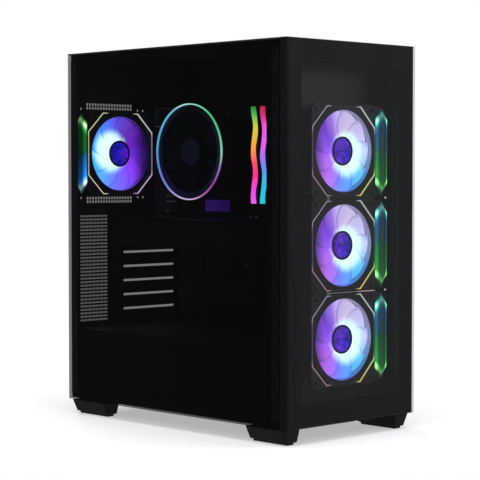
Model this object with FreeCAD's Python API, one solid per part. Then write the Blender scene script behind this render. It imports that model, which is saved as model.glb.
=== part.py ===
import FreeCAD, Part
import os
from math import cos, pi, radians, sin

from FreeCAD import Vector

# Desktop computer tower, millimetres.
# +Z is up, -Y is the front, -X is the glass side.
# The origin is on the floor, midway between the four feet.

# ---------------------------------------------------------------- outer size
WIDTH = 238.0
DEPTH = 430.0
BODY_HEIGHT = 482.0
FOOT_HEIGHT = 20.0

# ------------------------------------------------------------ sheet and fits
SHEET = 1.0             # steel sheet of the chassis
GLASS = 4.0             # tempered glass
PANEL_DEPTH = 14.0      # front panel, glass included
PANEL_GAP = 0.4         # between a removable panel and the chassis
MOVING_GAP = 0.3        # between a moving piece and what it passes
SHAFT_GAP = 0.05        # radial running clearance of a fan shaft
FLANGE = 13.0           # folded edge of the chassis plates
SPARE_HOLE_R = 1.7
GRILLE_SLOT = (1.6, 2.7)
GRILLE_COLUMNS, GRILLE_ROWS = 20, 31

# ---------------------------------------------------------------------- fans
FAN = 120.0             # frame size and stacking pitch
FAN_DEPTH = 25.0
FAN_HUB_R = 18.5
FAN_TIP_GAP = 1.2
FAN_BLADES = 9
FAN_SCREW_R = 2.1
SHAFT_R = 1.5
LIGHT_LINE = 1.6        # width of the octagonal light line
FAN_STACK_Z = 224.3     # middle of the front stack above the case floor
FRONT_FANS = 3
FRONT_FAN_INSET = 3.0   # fan face behind the front panel
BAR_WIDTH = 23.0        # crystal light bars beside the fans
BAR_THICK = 5.0

# --------------------------------------------------------------- motherboard
CABLE_SPACE = 23.6      # behind the motherboard tray
STANDOFF = 6.4
BOARD_THICK = 1.6
BOARD_DEPTH = 244.0
BOARD_HEIGHT = 305.0
SLOT_PITCH = 20.32
SLOT_TO_CARD = 5.6      # card board above the middle of its slot
SLOTS = 7
SLOT_WINDOW = 14.5
SLIT = 3.2              # air slit in a slot cover
IO_HEIGHT = 158.75
IO_WIDTH = 44.45

# ------------------------------------------------------- processor cooler
COOLER_RING_R = 68.5
COOLER_HEIGHT = 66.0    # board face to ring
COOLER_FAN_R = 56.0
COOLER_CLEAR = 26.0     # board face to the fins

# -------------------------------------------------------------------- memory
MEMORY_PITCH = 9.0      # between neighbouring sockets
MEMORY_LENGTH = 137.0
MEMORY_HEIGHT = 46.0
MEMORY_THICK = 7.0

# ------------------------------------------------------------- graphics card
CARD_LENGTH = 215.0
CARD_HEIGHT = 118.0
CARD_THICK = 36.0
CARD_FAN_R = 42.0

# -------------------------------------------------------------- power supply
SUPPLY_WIDTH = 150.0
SUPPLY_HEIGHT = 86.0
SUPPLY_DEPTH = 150.0
SUPPLY_FAN_R = 56.0
SWITCH_TILT = 8.0       # degrees of the mains rocker either side of level

# ---------------------------------------------------------- feet and filters
FOOT_LENGTH = 70.0
FOOT_WIDTH = 28.0
PAD = 3.0
STUD_R = 2.5            # panel studs that snap through the chassis
STUD_REACH = 2.0        # how far they pass the chassis face
POWER_R, POWER_TRAVEL = 7.0, 1.5
RESET_R, RESET_TRAVEL = 3.5, 1.0
JACK_R = 1.8            # bore of the headset socket

# ------------------------------------------------------------ derived places
LEFT, RIGHT = -WIDTH / 2, WIDTH / 2
FRONT, BACK = -DEPTH / 2, DEPTH / 2
FLOOR, TOP = FOOT_HEIGHT, FOOT_HEIGHT + BODY_HEIGHT
PANEL_FLOOR = FLOOR + PANEL_GAP
PANEL_BACK = FRONT + PANEL_DEPTH
TRIM = 2.0                                    # top trim thickness
CASE_X = RIGHT - GLASS - SHEET - PANEL_GAP    # half width of the chassis
CASE_FRONT = PANEL_BACK + PANEL_GAP
CASE_BACK = BACK - SHEET
CASE_FLOOR = FLOOR + 2.0
CASE_TOP = TOP - TRIM
SIDE_TOP = CASE_TOP - PANEL_GAP
TOP_FIELD_X = RIGHT - 39.0                    # half sizes of the top filter's recess
TOP_FIELD_Y = BACK - 57.0
FAN_DUCT_R = FAN / 2 - 7.5
FAN_HOLE = FAN / 2 - 7.5                      # screw hole from the fan's centre
OCTAGON = FAN - 2.0                           # light line across the flats
OCTAGON_SIDE = FAN / 2 - 2.0                  # its straight sides
BAR_LENGTH = FAN - 6.0
FAN_FACE = PANEL_BACK + FRONT_FAN_INSET
FAN_WALL = FAN_FACE + FAN_DEPTH
FAN_Z = [FLOOR + FAN_STACK_Z + FAN * (i - 1) for i in range(FRONT_FANS)]
REAR_INNER = CASE_BACK - SHEET                # inner face of the rear panel
REAR_FAN_FACE = REAR_INNER - FAN_DEPTH
REAR_FAN_X = -CASE_X + BAR_THICK + 3.1 + FAN / 2
BAR_X = FAN / 2 + 3.7 + BAR_WIDTH / 2
TRAY_X = CASE_X - CABLE_SPACE                 # left face of the motherboard tray
SUPPLY_X = TRAY_X - 2.0 - SUPPLY_WIDTH / 2
SUPPLY_FLOOR = CASE_FLOOR + SHEET + 4.0
SHROUD_TOP = SUPPLY_FLOOR + SUPPLY_HEIGHT + 6.0
BOARD_Z = SHROUD_TOP + 6.0                    # lower edge of the motherboard
BOARD_FACE = TRAY_X - STANDOFF - BOARD_THICK
BOARD_BACK = REAR_INNER - 2.0
BOARD_FRONT = BOARD_BACK - BOARD_DEPTH
BOARD_TOP = BOARD_Z + BOARD_HEIGHT
REAR_FAN_Z = BOARD_TOP - 66.0
COOLER_Y, COOLER_Z = BOARD_BACK - 97.0, BOARD_TOP - 63.5
MEMORY_Y = (COOLER_Y - 113.0, COOLER_Y - 113.0 - 2 * MEMORY_PITCH)
MEMORY_Z = COOLER_Z - 5.5
SLOT_Z = [BOARD_Z + 16.7 + SLOT_PITCH * i for i in range(SLOTS)]
SLOT_X0, SLOT_X1 = BOARD_FACE - 103.0, BOARD_FACE - 6.0
TAB_X = SLOT_X0 - 12.0
CARD_SLOTS = SLOT_Z[-2:]
COVER_SLOTS = SLOT_Z[:-2]
CARD_PCB_Z = SLOT_Z[-1] + SLOT_TO_CARD
CARD_X1 = BOARD_FACE - 12.0
CARD_X0 = CARD_X1 - CARD_HEIGHT
CARD_Y1 = REAR_INNER - FLANGE - 1.5
CARD_Y0 = CARD_Y1 - CARD_LENGTH
CARD_FLOOR = CARD_PCB_Z - CARD_THICK
CARD_FAN_Y = [CARD_Y0 + CARD_LENGTH * s for s in (0.27, 0.73)]
CARD_FAN_X = (CARD_X0 + CARD_X1) / 2
RING_X = BOARD_FACE - COOLER_HEIGHT
SUPPLY_X0, SUPPLY_X1 = SUPPLY_X - SUPPLY_WIDTH / 2, SUPPLY_X + SUPPLY_WIDTH / 2
SUPPLY_FRONT = REAR_INNER - SUPPLY_DEPTH
SUPPLY_FAN_Y = SUPPLY_FRONT + SUPPLY_DEPTH / 2
STUD_Z = (FLOOR + 45.0, TOP - 45.0)
STUD_Y = (CASE_FRONT + 14.0, REAR_INNER - 7.0)
POWER_X, RESET_X = RIGHT - 31.0, RIGHT - 51.0
PORTS_Y = (CASE_FRONT + FAN_WALL) / 2
USB_X = (RESET_X - 25.0, RESET_X - 46.0)
USB_C_X = RESET_X - 64.0
AUDIO_X = RESET_X - 78.0

parts = {}


# ------------------------------------------------------------- shape helpers
def box(x0, x1, y0, y1, z0, z1):
    return Part.makeBox(x1 - x0, y1 - y0, z1 - z0, Vector(x0, y0, z0))


def rod(radius, base, direction, length):
    return Part.makeCylinder(radius, length, Vector(*base), Vector(*direction))


def tube(outer, inner, base, direction, length):
    return rod(outer, base, direction, length).cut(rod(inner, base, direction, length))


def fused(shapes):
    return shapes[0].multiFuse(shapes[1:]).removeSplitter()


def cut(shape, tools):
    return shape.cut(Part.makeCompound(tools))


def group(shapes):
    return Part.makeCompound(shapes)


def point(normal, level, u, v):
    """u, v are (y, z) on a plane normal to x, (x, z) for y, and (x, y) for z."""
    if normal == "x":
        return Vector(level, u, v)
    if normal == "y":
        return Vector(u, level, v)
    return Vector(u, v, level)


NORMALS = {"x": Vector(1, 0, 0), "y": Vector(0, 1, 0), "z": Vector(0, 0, 1)}


def polygon(normal, level, corners):
    points = [point(normal, level, u, v) for u, v in corners]
    return Part.makePolygon(points + points[:1])


def rectangle(u0, u1, v0, v1):
    return [(u0, v0), (u1, v0), (u1, v1), (u0, v1)]


def circle(normal, level, u, v, radius):
    edge = Part.makeCircle(radius, point(normal, level, u, v), NORMALS[normal])
    return Part.Wire([edge])


def sheet(normal, level, thickness, outline, holes=(), rounds=()):
    """A flat plate with polygon holes and round holes (u, v, radius)."""
    wires = [polygon(normal, level, outline)]
    wires += [polygon(normal, level, hole) for hole in holes]
    wires += [circle(normal, level, u, v, r) for u, v, r in rounds]
    face = Part.makeFace(wires, "Part::FaceMakerBullseye")
    return face.extrude(NORMALS[normal] * thickness)


def spaced(start, end, count):
    step = (end - start) / (count - 1)
    return [start + step * i for i in range(count)]


def laid(shape, axis, origin):
    """Turn a piece made along +Z so that it points along axis, then move it."""
    turn = FreeCAD.Rotation(Vector(0, 0, 1), Vector(*axis))
    placed = shape.copy()
    placed.Placement = FreeCAD.Placement(Vector(*origin), turn)
    return placed


def add(name, shape):
    parts[name] = shape


# -------------------------------------------------- fans, made along +Z at 0
def octagon(across, side):
    """Corners of an octagon with straight sides of one length and cut corners."""
    a, s = across / 2, side / 2
    return [(-s, -a), (s, -a), (a, -s), (a, s), (s, a), (-s, a), (-a, s), (-a, -s)]


def octagon_line(depth):
    inner = OCTAGON - 2 * LIGHT_LINE
    return sheet("z", 0, depth, octagon(OCTAGON, OCTAGON_SIDE),
                 [octagon(inner, OCTAGON_SIDE - LIGHT_LINE)])


def fan_frame():
    """Moulded frame: two flanges, a duct, four struts and the motor mount."""
    half, flange = FAN / 2, 4.0
    chamfer = half - 6.0
    plate = [(-chamfer, -half), (chamfer, -half), (half, -chamfer), (half, chamfer),
             (chamfer, half), (-chamfer, half), (-half, chamfer), (-half, -chamfer)]
    rounds = [(x, y, FAN_SCREW_R + 0.1) for x in (-FAN_HOLE, FAN_HOLE)
              for y in (-FAN_HOLE, FAN_HOLE)]
    duct = (0, 0, FAN_DUCT_R)
    front = sheet("z", 0, flange, plate, [], rounds + [duct])
    rear = sheet("z", FAN_DEPTH - flange, flange, plate, [], rounds + [duct])
    barrel = tube(FAN_DUCT_R + 2.2, FAN_DUCT_R, (0, 0, 0), (0, 0, 1), FAN_DEPTH)
    mount_z = FAN_DEPTH - 3.5
    pieces = [front, rear, barrel, rod(FAN_HUB_R + 1.5, (0, 0, mount_z), (0, 0, 1), 3.5)]
    for i in range(4):
        strut = box(FAN_HUB_R, FAN_DUCT_R + 1.0, -2.0, 2.0, mount_z, FAN_DEPTH)
        pieces.append(strut.rotate(Vector(0, 0, 0), Vector(0, 0, 1), 90 * i + 35))
    pieces.append(rod(4.2, (0, 0, 6.5), (0, 0, 1), mount_z - 6.0))
    pieces.append(rod(13.0, (0, 0, 8.5), (0, 0, 1), 9.0))
    frame = fused(pieces)
    bore = rod(SHAFT_R + SHAFT_GAP, (0, 0, 6.0), (0, 0, 1), mount_z - 4.5)
    return cut(frame, [bore, octagon_line(1.5)])


def blade_section(radius, chord, pitch, thick, height):
    """A flat quadrilateral on the plane x = radius, tilted by pitch."""
    along = Vector(0, cos(pitch), sin(pitch)) * (chord / 2)
    across = Vector(0, -sin(pitch), cos(pitch)) * (thick / 2)
    middle = Vector(radius, 0, height)
    corners = [middle - along - across, middle + along - across,
               middle + along + across, middle - along + across]
    return Part.makePolygon(corners + corners[:1])


def fan_rotor(hub_r, tip_r, height, blades, root_chord, tip_chord, shaft):
    """Hub cup, open at the top, with a shaft and twisted blades round it."""
    wall = 2.0
    cup = rod(hub_r, (0, 0, 0), (0, 0, 1), height)
    cup = cup.cut(rod(hub_r - wall, (0, 0, wall), (0, 0, 1), height))
    stem = rod(SHAFT_R, (0, 0, wall / 2), (0, 0, 1), shaft)
    root = blade_section(hub_r - wall / 2, root_chord, radians(50), 1.6, height / 2)
    tip = blade_section(tip_r + 1, tip_chord, radians(27), 1.4, height / 2)
    tip.rotate(Vector(0, 0, 0), Vector(0, 0, 1), 14)
    blade = Part.makeLoft([root, tip], True, True)
    blade = blade.common(rod(tip_r, (0, 0, 0), (0, 0, 1), height))
    turned = []
    for i in range(blades):
        copy = blade.copy()
        copy.rotate(Vector(0, 0, 0), Vector(0, 0, 1), 360.0 * i / blades)
        turned.append(copy)
    return cup.multiFuse([stem] + turned)


def light_bar():
    """Crystal bar along Y with pointed ends and a raised, bevelled face."""
    def outline(scale_w, length, z):
        w, l = BAR_WIDTH / 2 * scale_w, length / 2
        shoulder = l - 16.0
        return polygon("z", z, [(0, -l), (w, -shoulder), (w, shoulder),
                                (0, l), (-w, shoulder), (-w, -shoulder)])
    step = BAR_THICK * 0.4
    base = Part.Face(outline(1.0, BAR_LENGTH, 0)).extrude(Vector(0, 0, step))
    crown = Part.makeLoft([outline(1.0, BAR_LENGTH, step),
                           outline(0.35, BAR_LENGTH - 14.0, BAR_THICK)], True, True)
    return base.fuse(crown)


def make_fans():
    frame, line, bar = fan_frame(), octagon_line(1.5), light_bar()
    rotor = fan_rotor(FAN_HUB_R, FAN_DUCT_R - FAN_TIP_GAP, FAN_DEPTH - 7.5, FAN_BLADES,
                      16.0, 38.0, FAN_DEPTH - 8.0)
    into = (0, 1, 0)
    lines, bars, holders, screws = [], [], [], []
    reach = FAN / 2 - 2.0
    for i, z in enumerate(FAN_Z):
        place = (0, FAN_FACE, z)
        add("front_fan_frame_%d" % (i + 1), laid(frame, into, place))
        add("front_fan_rotor_%d" % (i + 1), laid(rotor, into, (0, FAN_FACE + 2.5, z)))
        lines.append(laid(line, into, place))
        holder_y = FAN_FACE + BAR_THICK
        bars.append(laid(bar, (0, -1, 0), (BAR_X, holder_y, z)))
        holders.append(fused([
            box(FAN / 2, BAR_X + BAR_WIDTH / 2 + 2.0, holder_y, holder_y + 3.0,
                z - reach, z + reach),
            box(FAN / 2, FAN / 2 + 3.0, holder_y, FAN_WALL, z - reach, z - reach + 18),
            box(FAN / 2, FAN / 2 + 3.0, holder_y, FAN_WALL, z + reach - 18, z + reach)]))
        for x in (-FAN_HOLE, FAN_HOLE):
            for side in (-FAN_HOLE, FAN_HOLE):
                screws.append(rod(FAN_SCREW_R, (x, FAN_WALL - 8, z + side), into, 8 + SHEET))
                screws.append(rod(4.0, (x, FAN_WALL + SHEET, z + side), into, 2.2))
    add("light_bar_holders", group(holders))
    add("rear_fan_frame", laid(frame, into, (REAR_FAN_X, REAR_FAN_FACE, REAR_FAN_Z)))
    add("rear_fan_rotor", laid(rotor, into, (REAR_FAN_X, REAR_FAN_FACE + 2.5, REAR_FAN_Z)))
    lines.append(laid(line, into, (REAR_FAN_X, REAR_FAN_FACE, REAR_FAN_Z)))
    # The rear fan's bar stands on the side of its frame that faces the glass.
    upright = laid(bar, (-1, 0, 0), (0, 0, 0))
    upright.rotate(Vector(0, 0, 0), Vector(1, 0, 0), 90)
    upright.translate(Vector(REAR_FAN_X - FAN / 2, REAR_FAN_FACE + FAN_DEPTH / 2, REAR_FAN_Z))
    bars.append(upright)
    add("fan_light_lines", group(lines))
    add("fan_light_bars", group(bars))
    for x in (-FAN_HOLE, FAN_HOLE):
        for side in (-FAN_HOLE, FAN_HOLE):
            base = (REAR_FAN_X + x, REAR_INNER - 8, REAR_FAN_Z + side)
            screws.append(rod(FAN_SCREW_R, base, into, 8 + SHEET))
            screws.append(rod(4.0, (base[0], CASE_BACK, base[2]), into, 0.9))
    for z in SLOT_Z:
        y = REAR_INNER - 7.5
        head = rod(4.2, (TAB_X - 5.4, y, z), (1, 0, 0), 4.2)
        screws.append(head.cut(box(TAB_X - 6, TAB_X - 4.2, y - 5, y + 5, z - 0.6, z + 0.6)))
    add("fan_and_slot_screws", group(screws))


# ------------------------------------------------------------------- chassis
def make_chassis():
    x, gap = CASE_X, SHEET
    inner = x - gap
    # Front fan bay: a pressed tray, open at the front, that holds the fans.
    bay = box(-x, x, CASE_FRONT, FAN_WALL + gap, CASE_FLOOR, CASE_TOP)
    bay = bay.cut(box(-inner, inner, CASE_FRONT + gap, FAN_WALL, CASE_FLOOR + gap, CASE_TOP - gap))
    lip = 14.0
    tools = [box(-x + lip, x - lip, CASE_FRONT - 1, CASE_FRONT + gap + 1,
                 CASE_FLOOR + lip, CASE_TOP - lip)]
    tools += [rod(FAN_DUCT_R + 1, (0, FAN_WALL - 1, z), (0, 1, 0), gap + 2) for z in FAN_Z]
    for z in FAN_Z:
        for dx in (-FAN_HOLE, FAN_HOLE):
            for dz in (-FAN_HOLE, FAN_HOLE):
                tools.append(rod(FAN_SCREW_R + 0.1, (dx, FAN_WALL - 1, z + dz), (0, 1, 0),
                                 gap + 2))
    stud_hole = STUD_R + MOVING_GAP
    for z in STUD_Z:
        tools.append(rod(stud_hole, (-x - 1, STUD_Y[0], z), (1, 0, 0), gap + 2))
        tools.append(rod(stud_hole, (inner - 1, STUD_Y[0], z), (1, 0, 0), gap + 2))
        for sx in (-x + 7.0, x - 7.0):
            tools.append(rod(stud_hole, (sx, CASE_FRONT - 1, z), (0, 1, 0), gap + 2))
    tools.append(box(AUDIO_X - 8, POWER_X + 12, PORTS_Y - 9, PORTS_Y + 9,
                     CASE_TOP - gap - 1, CASE_TOP + 1))
    add("front_fan_bay", cut(bay, tools))

    # Base pan with folded edges and intake slots below the power supply.
    y0, y1 = FAN_WALL + gap, REAR_INNER
    slots = [rectangle(SUPPLY_X - 55, SUPPLY_X + 55, y, y + 4)
             for y in spaced(SUPPLY_FRONT + 15, SUPPLY_FRONT + SUPPLY_DEPTH - 20, 14)]
    pan = sheet("z", CASE_FLOOR, gap, rectangle(-x, x, y0, y1), slots)
    folds = []
    for wall in (-x, inner):
        folds.append(box(wall, wall + gap, y0, y1, CASE_FLOOR, CASE_FLOOR + FLANGE))
    rail_low = CASE_FLOOR - 2.8
    for edge, way in ((SUPPLY_X0 + 2, 1), (SUPPLY_X1 - 2, -1)):
        a, b = sorted((edge, edge + 3 * way))
        folds.append(box(a, b, SUPPLY_FRONT + 2, REAR_INNER - 4, rail_low, CASE_FLOOR))
        a, b = sorted((edge, edge + 8 * way))
        folds.append(box(a, b, SUPPLY_FRONT + 2, REAR_INNER - 4, rail_low, rail_low + 1))
    add("base_pan", fused([pan] + folds))

    # Roof plate with folded edges and two fields of air slots.
    slots = []
    slot_x, slot_y = TOP_FIELD_X - 18, TOP_FIELD_Y - 18
    for y in spaced(-slot_y, slot_y, 15):
        slots.append(rectangle(-slot_x, -4, y - 4, y + 4))
        slots.append(rectangle(4, slot_x, y - 4, y + 4))
    roof = sheet("z", CASE_TOP - gap, gap, rectangle(-x, x, y0, y1), slots)
    folds = [box(w, w + gap, y0, y1, CASE_TOP - FLANGE, CASE_TOP) for w in (-x, inner)]
    add("roof_plate", fused([roof] + folds))

    # Rear panel: fan opening, port window, card slots, grille window, supply.
    port_edge = BOARD_FACE + 2.3 - IO_WIDTH
    holes = [rectangle(port_edge, BOARD_FACE + 2.3, BOARD_TOP + 1.5 - IO_HEIGHT, BOARD_TOP + 1.5)]
    for z in SLOT_Z:
        holes.append(rectangle(SLOT_X0 - 3, SLOT_X1 + 3, z - SLOT_WINDOW / 2, z + SLOT_WINDOW / 2))
    holes.append(rectangle(SUPPLY_X0 + 5, SUPPLY_X1 - 5, SUPPLY_FLOOR + 5,
                           SUPPLY_FLOOR + SUPPLY_HEIGHT - 5))
    grille = (-x + 12.6, -x + 64.6, SLOT_Z[0] - 16, SLOT_Z[0] + 137)
    holes.append(rectangle(*grille))
    for z in (REAR_FAN_Z - FAN / 2 - 8, REAR_FAN_Z + FAN / 2 + 4):
        for u in spaced(REAR_FAN_X - 40, REAR_FAN_X + 40, 17):
            for v in (z, z + 5):
                holes.append(rectangle(u - 1.8, u + 1.8, v - 1.8, v + 1.8))
    rounds = [(REAR_FAN_X, REAR_FAN_Z, FAN_DUCT_R)]
    for dx in (-FAN_HOLE, FAN_HOLE):
        for dz in (-FAN_HOLE, FAN_HOLE):
            rounds.append((REAR_FAN_X + dx, REAR_FAN_Z + dz, FAN_SCREW_R + 0.1))
    # Spare holes beyond the frame's corners, for a fan one size larger.
    for x_hole in (REAR_FAN_X - FAN / 2 + 8.5, REAR_FAN_X + FAN / 2 - 7.0, port_edge - 22.4):
        for dz in (-FAN / 2 - 2.5, FAN / 2 + 2.5):
            rounds.append((x_hole, REAR_FAN_Z + dz, SPARE_HOLE_R))
    outline = rectangle(-x, x, CASE_FLOOR, CASE_TOP)
    back = sheet("y", REAR_INNER, gap, outline, holes, rounds)
    flange_y = REAR_INNER - FLANGE
    low, high = CASE_FLOOR + FLANGE + 0.5, CASE_TOP - FLANGE - 0.5
    folds = [box(w, w + gap, flange_y, REAR_INNER, low, high) for w in (-x, inner)]
    # Ledge that the card brackets are screwed to.
    low, high = SLOT_Z[0] - 14, SLOT_Z[-1] + 14
    ledge = [box(TAB_X, TAB_X + gap, flange_y, REAR_INNER - 1.4, low, high)]
    for z in (low, high - 4):
        ledge.append(box(TAB_X, TAB_X + gap, REAR_INNER - 2, REAR_INNER, z, z + 4))
    back = fused([back] + ledge + folds)
    tools = [rod(stud_hole, (w - 1, STUD_Y[1], z), (1, 0, 0), gap + 2)
             for w in (-x, inner) for z in STUD_Z]
    add("rear_panel", cut(back, tools))

    # Fine grille behind its window: upright slots in rows.
    u0, u1, v0, v1 = grille
    du, dv = GRILLE_SLOT[0] / 2, GRILLE_SLOT[1] / 2
    mesh = [rectangle(u - du, u + du, v - dv, v + dv)
            for u in spaced(u0 + 2.5, u1 - 2.5, GRILLE_COLUMNS)
            for v in spaced(v0 + 3.0, v1 - 3.0, GRILLE_ROWS)]
    add("rear_grille", sheet("y", REAR_INNER - 0.8, 0.8,
                             rectangle(u0 - 3, u1 + 3, v0 - 3, v1 + 3), mesh))

    # Tray that carries the motherboard, with a cut-out behind the processor.
    tray_z0, tray_z1 = CASE_FLOOR + gap, CASE_TOP - gap
    cable_y = BOARD_FRONT - 32.0
    holes = [rectangle(COOLER_Y - 60, COOLER_Y + 60, COOLER_Z - 55, COOLER_Z + 45)]
    holes.append(rectangle(cable_y - 14, cable_y + 14, BOARD_Z + 20, BOARD_Z + 100))
    holes.append(rectangle(cable_y - 14, cable_y + 14, BOARD_Z + 150, BOARD_Z + 240))
    holes.append(rectangle(SUPPLY_FRONT - 45, SUPPLY_FRONT - 12, tray_z0 + 12, SHROUD_TOP - 14))
    add("motherboard_tray", sheet("x", TRAY_X, gap, rectangle(y0, y1, tray_z0, tray_z1), holes))

    # Shroud over the power supply and drive, with air slots and a side skirt.
    shroud_x0, shroud_x1 = -inner + 2, TRAY_X
    slots = [rectangle(TRAY_X - 160, TRAY_X - 30, y, y + 5) for y in spaced(y0 + 22, y0 + 92, 5)]
    deck = sheet("z", SHROUD_TOP - gap, gap, rectangle(shroud_x0, shroud_x1, y0, y1), slots)
    skirt = box(shroud_x0, shroud_x0 + gap, y0, y1, CASE_FLOOR + gap, SHROUD_TOP)
    add("power_supply_shroud", fused([deck, skirt]))


# ---------------------------------------------- removable panels and filters
def make_panels():
    y0, y1 = CASE_FRONT - PANEL_GAP + MOVING_GAP, BACK
    glass_in = LEFT + GLASS
    add("left_glass_panel", box(LEFT, glass_in, y0, y1, PANEL_FLOOR, SIDE_TOP))
    # Steel strips bonded to the glass carry its studs.
    strips = []
    for stud_y, edge in zip(STUD_Y, (9, 6)):
        y = stud_y - edge
        pieces = [box(glass_in, glass_in + SHEET, y, y + 13, PANEL_FLOOR + 8, SIDE_TOP - 8)]
        pieces += [rod(STUD_R, (glass_in, stud_y, z), (1, 0, 0), STUD_REACH - CASE_X - glass_in)
                   for z in STUD_Z]
        strips.append(fused(pieces))
    add("left_panel_strips", group(strips))

    shell = box(CASE_X + PANEL_GAP, RIGHT, y0, y1, PANEL_FLOOR, SIDE_TOP)
    hollow = box(CASE_X + PANEL_GAP - 1, RIGHT - SHEET, y0 + SHEET, y1 - SHEET,
                 PANEL_FLOOR + SHEET, SIDE_TOP - SHEET)
    right = shell.cut(hollow)
    pins = []
    for y in STUD_Y:
        for z in STUD_Z:
            pins.append(rod(STUD_R, (RIGHT - SHEET, y, z), (-1, 0, 0),
                            RIGHT - SHEET - CASE_X + STUD_REACH))
    add("right_side_panel", fused([right] + pins))

    # Front panel: moulded channel frame behind a full-face sheet of glass.
    side, head, sill = 27.0, 28.0, 30.0
    f_back, f_front = PANEL_BACK, FRONT + GLASS
    outer = box(LEFT, RIGHT, f_front, f_back, PANEL_FLOOR, TOP)
    window = box(LEFT + side, RIGHT - side, f_front - 1, f_back + 1, FLOOR + sill, TOP - head)
    wall = 3.0
    hollow = box(LEFT + wall, RIGHT - wall, f_front + wall, f_back + 1,
                 PANEL_FLOOR + wall, TOP - wall)
    rib = box(LEFT + side - wall, RIGHT - side + wall, f_front, f_back,
              FLOOR + sill - wall, TOP - head + wall)
    frame = outer.cut(hollow).fuse(rib).cut(window)
    pins = []
    for z in STUD_Z:
        for sx in (-CASE_X + 7.0, CASE_X - 7.0):
            pins.append(rod(4.5, (sx, f_front + wall - 0.5, z), (0, 1, 0),
                            f_back - f_front - wall + 0.5))
            pins.append(rod(STUD_R, (sx, f_back - 1, z), (0, 1, 0),
                            1 + PANEL_GAP + STUD_REACH))
    frame = fused([frame] + pins)
    vents = []
    for z in spaced(FLOOR + 60, TOP - 60, 24):
        vents.append(box(RIGHT - wall - 1, RIGHT + 1, f_front + 4, f_back - 1.5, z - 5, z + 5))
    add("front_panel_frame", cut(frame, vents))
    add("front_glass", box(LEFT, RIGHT, FRONT, f_front, PANEL_FLOOR, TOP))

    # Top trim with the recess for the magnetic filter and holes for the ports.
    fx, fy = TOP_FIELD_X, TOP_FIELD_Y
    holes = [rectangle(-fx, fx, -fy, fy)]
    holes += [rectangle(u - 6.8, u + 6.8, PORTS_Y - 3.1, PORTS_Y + 3.1) for u in USB_X]
    holes.append(rectangle(USB_C_X - 4.7, USB_C_X + 4.7, PORTS_Y - 1.8, PORTS_Y + 1.8))
    rounds = [(POWER_X, PORTS_Y, POWER_R + MOVING_GAP), (RESET_X, PORTS_Y, RESET_R + MOVING_GAP),
              (AUDIO_X, PORTS_Y, 3.2)]
    add("top_trim", sheet("z", CASE_TOP, TRIM,
                          rectangle(LEFT, RIGHT, CASE_FRONT - PANEL_GAP + MOVING_GAP, BACK),
                          holes, rounds))
    fx, fy = fx - MOVING_GAP - 0.2, fy - MOVING_GAP - 0.2
    frame = sheet("z", CASE_TOP + MOVING_GAP, TRIM - MOVING_GAP, rectangle(-fx, fx, -fy, fy),
                  [rectangle(-fx + 8, fx - 8, -fy + 8, -2), rectangle(-fx + 8, fx - 8, 2, fy - 8)])
    holes = [rectangle(u - 2.4, u + 2.4, v - 2.4, v + 2.4)
             for u in spaced(-fx + 12, fx - 12, 20) for v in spaced(-fy + 12, fy - 12, 40)
             if abs(v) > 5]
    mesh = sheet("z", CASE_TOP + MOVING_GAP + 0.4, 0.4, rectangle(-fx + 6, fx - 6, -fy + 6, fy - 6),
                 holes)
    add("top_filter", frame.fuse(mesh))

    # Dust filter below the power supply, drawn out to the rear by its tab.
    bx0, bx1 = SUPPLY_X0 + 5.3, SUPPLY_X1 - 5.3
    by0, by1 = SUPPLY_FRONT + 4, REAR_INNER - 4
    low = CASE_FLOOR - 1.8 + MOVING_GAP
    rim = sheet("z", low, 1.2, rectangle(bx0, bx1, by0, by1),
                [rectangle(bx0 + 9, bx1 - 9, y, y + 9)
                 for y in spaced(by0 + 6, by1 - 15, 12)])
    tab = box(SUPPLY_X - 20, SUPPLY_X + 20, by1, BACK - 0.5, low, low + 1.2)
    add("bottom_filter", fused([rim, tab]))


# -------------------------------------------------------------- feet, ports
def foot(sign_x, y0):
    """One moulded foot: wide under the case, narrower at the floor."""
    inner, outer = RIGHT - 2.0 - FOOT_WIDTH, RIGHT - 2.0
    def rim(z, in_x, out_x, trim):
        xs = sorted((sign_x * in_x, sign_x * out_x))
        return polygon("z", z, rectangle(xs[0], xs[1], y0 + trim, y0 + FOOT_LENGTH - trim))
    body = Part.makeLoft([rim(PAD, inner + 3, outer - 7, 2), rim(FLOOR, inner, outer, 0)],
                         True, True)
    xs = sorted((sign_x * (inner + 2), sign_x * (CASE_X - 4)))
    boss = box(xs[0], xs[1], y0 + 24, y0 + FOOT_LENGTH - 24, FLOOR, CASE_FLOOR)
    return body.fuse(boss)


def make_feet():
    feet, pads = [], []
    for sign in (-1, 1):
        for y0 in (FRONT + 8.0, BACK - 5.0 - FOOT_LENGTH):
            feet.append(foot(sign, y0))
            xs = sorted((sign * (RIGHT - FOOT_WIDTH + 4), sign * (RIGHT - 12)))
            pads.append(box(xs[0], xs[1], y0 + 5, y0 + FOOT_LENGTH - 5, 0, PAD))
    add("feet", group(feet))
    add("foot_pads", group(pads))


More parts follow.
